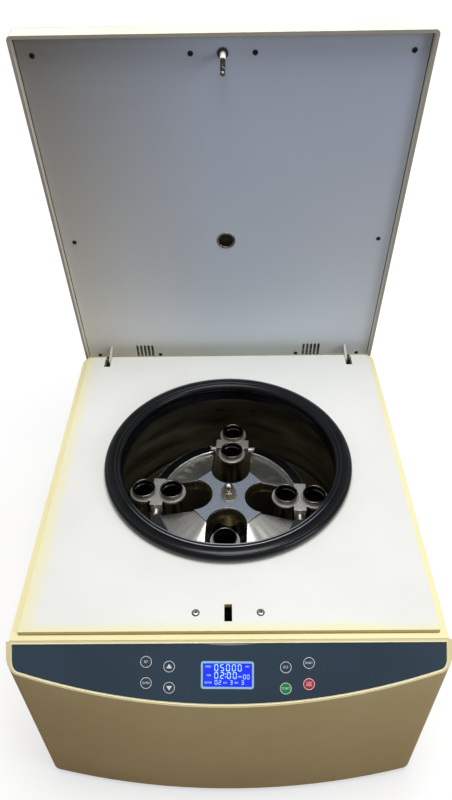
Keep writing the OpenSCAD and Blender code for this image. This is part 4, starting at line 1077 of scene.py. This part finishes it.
def figure(letter, u, v, height, width):
    half = height * 0.115 / 2
    gap = half * 0.32

    def bar(x0, y0, x1, y1):
        lying = abs(x1 - x0) > abs(y1 - y0)
        near, far, side = (x0 + gap, x1 - gap, y0) if lying else (y0 + gap, y1 - gap, x0)
        outline = [(near, side), (near + half, side + half), (far - half, side + half), (far, side),
                   (far - half, side - half), (near + half, side - half)]
        return outline if lying else [(b, a) for a, b in outline]

    w, h = width / 2 - half, height / 2 - half
    bars = {"a": (-w, h, w, h), "g": (-w, 0, w, 0), "d": (-w, -h, w, -h), "f": (-w, 0, -w, h),
            "b": (w, 0, w, h), "e": (-w, -h, -w, 0), "c": (w, -h, w, 0)}
    return [[(u + x, v + y) for x, y in bar(*bars[name])] for name in segments[letter]]


figures = []
for letters, places, v, height, width in (
        ("05000", (-12.6, -6.06, 0.6, 7.3, 13.9), 8.1, 7.9, 4.4),
        ("0200", (-12.6, -6.06, 1.7, 8.4), -0.56, 7.7, 4.4),
        ("00", (19.3, 23.5), -2.1, 5.3, 3.0),
        ("0233", (-12.9, -8.6, 4.3, 17.0), -8.4, 5.1, 2.9)):
    for letter, u in zip(letters, places):
        figures += figure(letter, u, v, height, width)
for v in (1.2, -2.3):
    figures.append([(-2.8, v - 0.5), (-1.8, v - 0.5), (-1.8, v + 0.5), (-2.8, v + 0.5)])
screen_lift = top_of("display_glass") + ink_lift
shown = [flat_mesh("figures", figures, screen_lift, display_ink)]
for words, u, v in (("SPEED", -21.7, 9.3), ("RPM", 22.5, 9.3), ("TIME", -21.2, -0.6), ("MIN", 14.4, -2.0),
                    ("ROTOR", -21.7, -8.8), ("ACC", -2.5, -8.8), ("DEC", 10.2, -8.8)):
    shown.append(lettering("label", words, 2.0, u, v, screen_lift, display_ink, 0.85))
link("display_marks", gather("display_marks", shown, display_ink), "base")
print("display:", len(figures), "segments")

# %% [markdown]
# ## Beads and seams
#
# The moulded front carries a fine raised bead all round the panel, painted lighter than the
# moulding as a painted highlight. Its path is the outline of the panel itself, pushed outwards, and
# the sweep tree gives it a round section. The same tree lays the brown seam where the deck sheet
# meets the ledge of the cabinet.

# %% Bead round the panel and seam round the deck
def outline_2d(points):
    hull = geometry.convex_hull_2d(points)
    loop = [Vector(points[k]) for k in hull]
    area = sum(a.x * b.y - b.x * a.y for a, b in zip(loop, loop[1:] + loop[:1]))
    return loop if area > 0 else loop[::-1]


def pushed(loop, distance):
    out = []
    for k, point in enumerate(loop):
        before, after = loop[k - 1], loop[(k + 1) % len(loop)]
        first, second = (point - before).normalized(), (after - point).normalized()
        lean = first + second
        side = Vector((lean.y, -lean.x)).normalized()
        reach_out = distance / max(0.5, side.dot(Vector((first.y, -first.x))))
        out.append(point + side * reach_out)
    return out


def thinned(loop, least):
    kept = [loop[0]]
    for point in loop[1:]:
        if (point - kept[-1]).length > least:
            kept.append(point)
    return kept


panel_top = top_of("control_panel")
panel_verts = [corner - panel_origin for corner in corners_of("control_panel")]
face_points = [(c.dot(flat_u), c.dot(flat_v)) for c in panel_verts if c.dot(slope_out) > panel_top - 0.0001]
edge_loop = thinned(outline_2d(face_points), 0.0012)
bead_r = 0.75 * mm
bead_loop = pushed(edge_loop, 1.15 * mm)
bead_base = panel_origin + slope_out * (panel_top + bead_r)
bead_path = [bead_base + flat_u * point.x + flat_v * point.y for point in bead_loop]
bead = sweep_along("panel_bead", bead_path, bead_r, bead_r, 2.0, 10, bead_painted_light)
link("panel_bead", bead, "base")
print("bead:", len(bead_path), "points,", len(bead.polygons), "faces")

deck_points = [(c.x, c.y) for c in corners_of("deck_plate") if c.z < deck_low.z + 0.2 * mm]
seam_loop = thinned(pushed(outline_2d(deck_points), 0.15 * mm), 1.0 * mm)
seam_path = [(point.x, point.y, deck_low.z + 0.25 * mm) for point in seam_loop]
seam = sweep_along("deck_seam", seam_path, 0.45 * mm, 0.35 * mm, 2.0, 8, seam_paint)
link("deck_seam", seam, "base")

# %% A painted highlight: a bright sliver along the top of the panel, deepest at its middle
top_v = max(point.y for point in edge_loop) / mm
sliver_half, sliver_deep, sliver_steps = 32.0, 2.0, 24
sliver = []
for k in range(sliver_steps + 1):
    share = k / sliver_steps
    sliver.append((sliver_half * (1 - 2 * share), top_v - 0.15 - sliver_deep * math.sin(math.pi * share)))
sliver_mesh = flat_mesh("overlay_sliver", [sliver], panel_top + ink_lift, sliver_highlight)
link("overlay_sliver", sliver_mesh, "base")
print("the panel ends", round(top_v, 1), "mm above the middle of the display")

# %% Painted shade: dark strips down both sides of the liner, where the sheet stops short of the lid's lip
liner_points = corners_of("lid_liner")
lid_up = Vector((0, lid_normal.z, -lid_normal.y))
gap_lift = lid_normal * (max(c.dot(lid_normal) for c in liner_points) + 0.06 * mm)
half_liner = max(c.x for c in liner_points)
heights = [c.dot(lid_up) for c in liner_points]
foot, head_end = min(heights), max(heights)
gap_wide = 0.9 * mm
gaps = []
for side in (-1, 1):
    edge_x, sheet_x = side * half_liner, side * (half_liner - gap_wide)
    ends = ((edge_x, foot), (sheet_x, foot), (sheet_x, head_end), (edge_x, head_end))
    gaps.append([Vector((x, 0, 0)) + lid_up * along + gap_lift for x, along in ends])
link("liner_gaps", flat_faces("liner_gaps", gaps, lid_normal, recess), body_of("lid_liner"))
print("liner gaps from", round(foot, 4), "to", round(head_end, 4), "m along the lid")
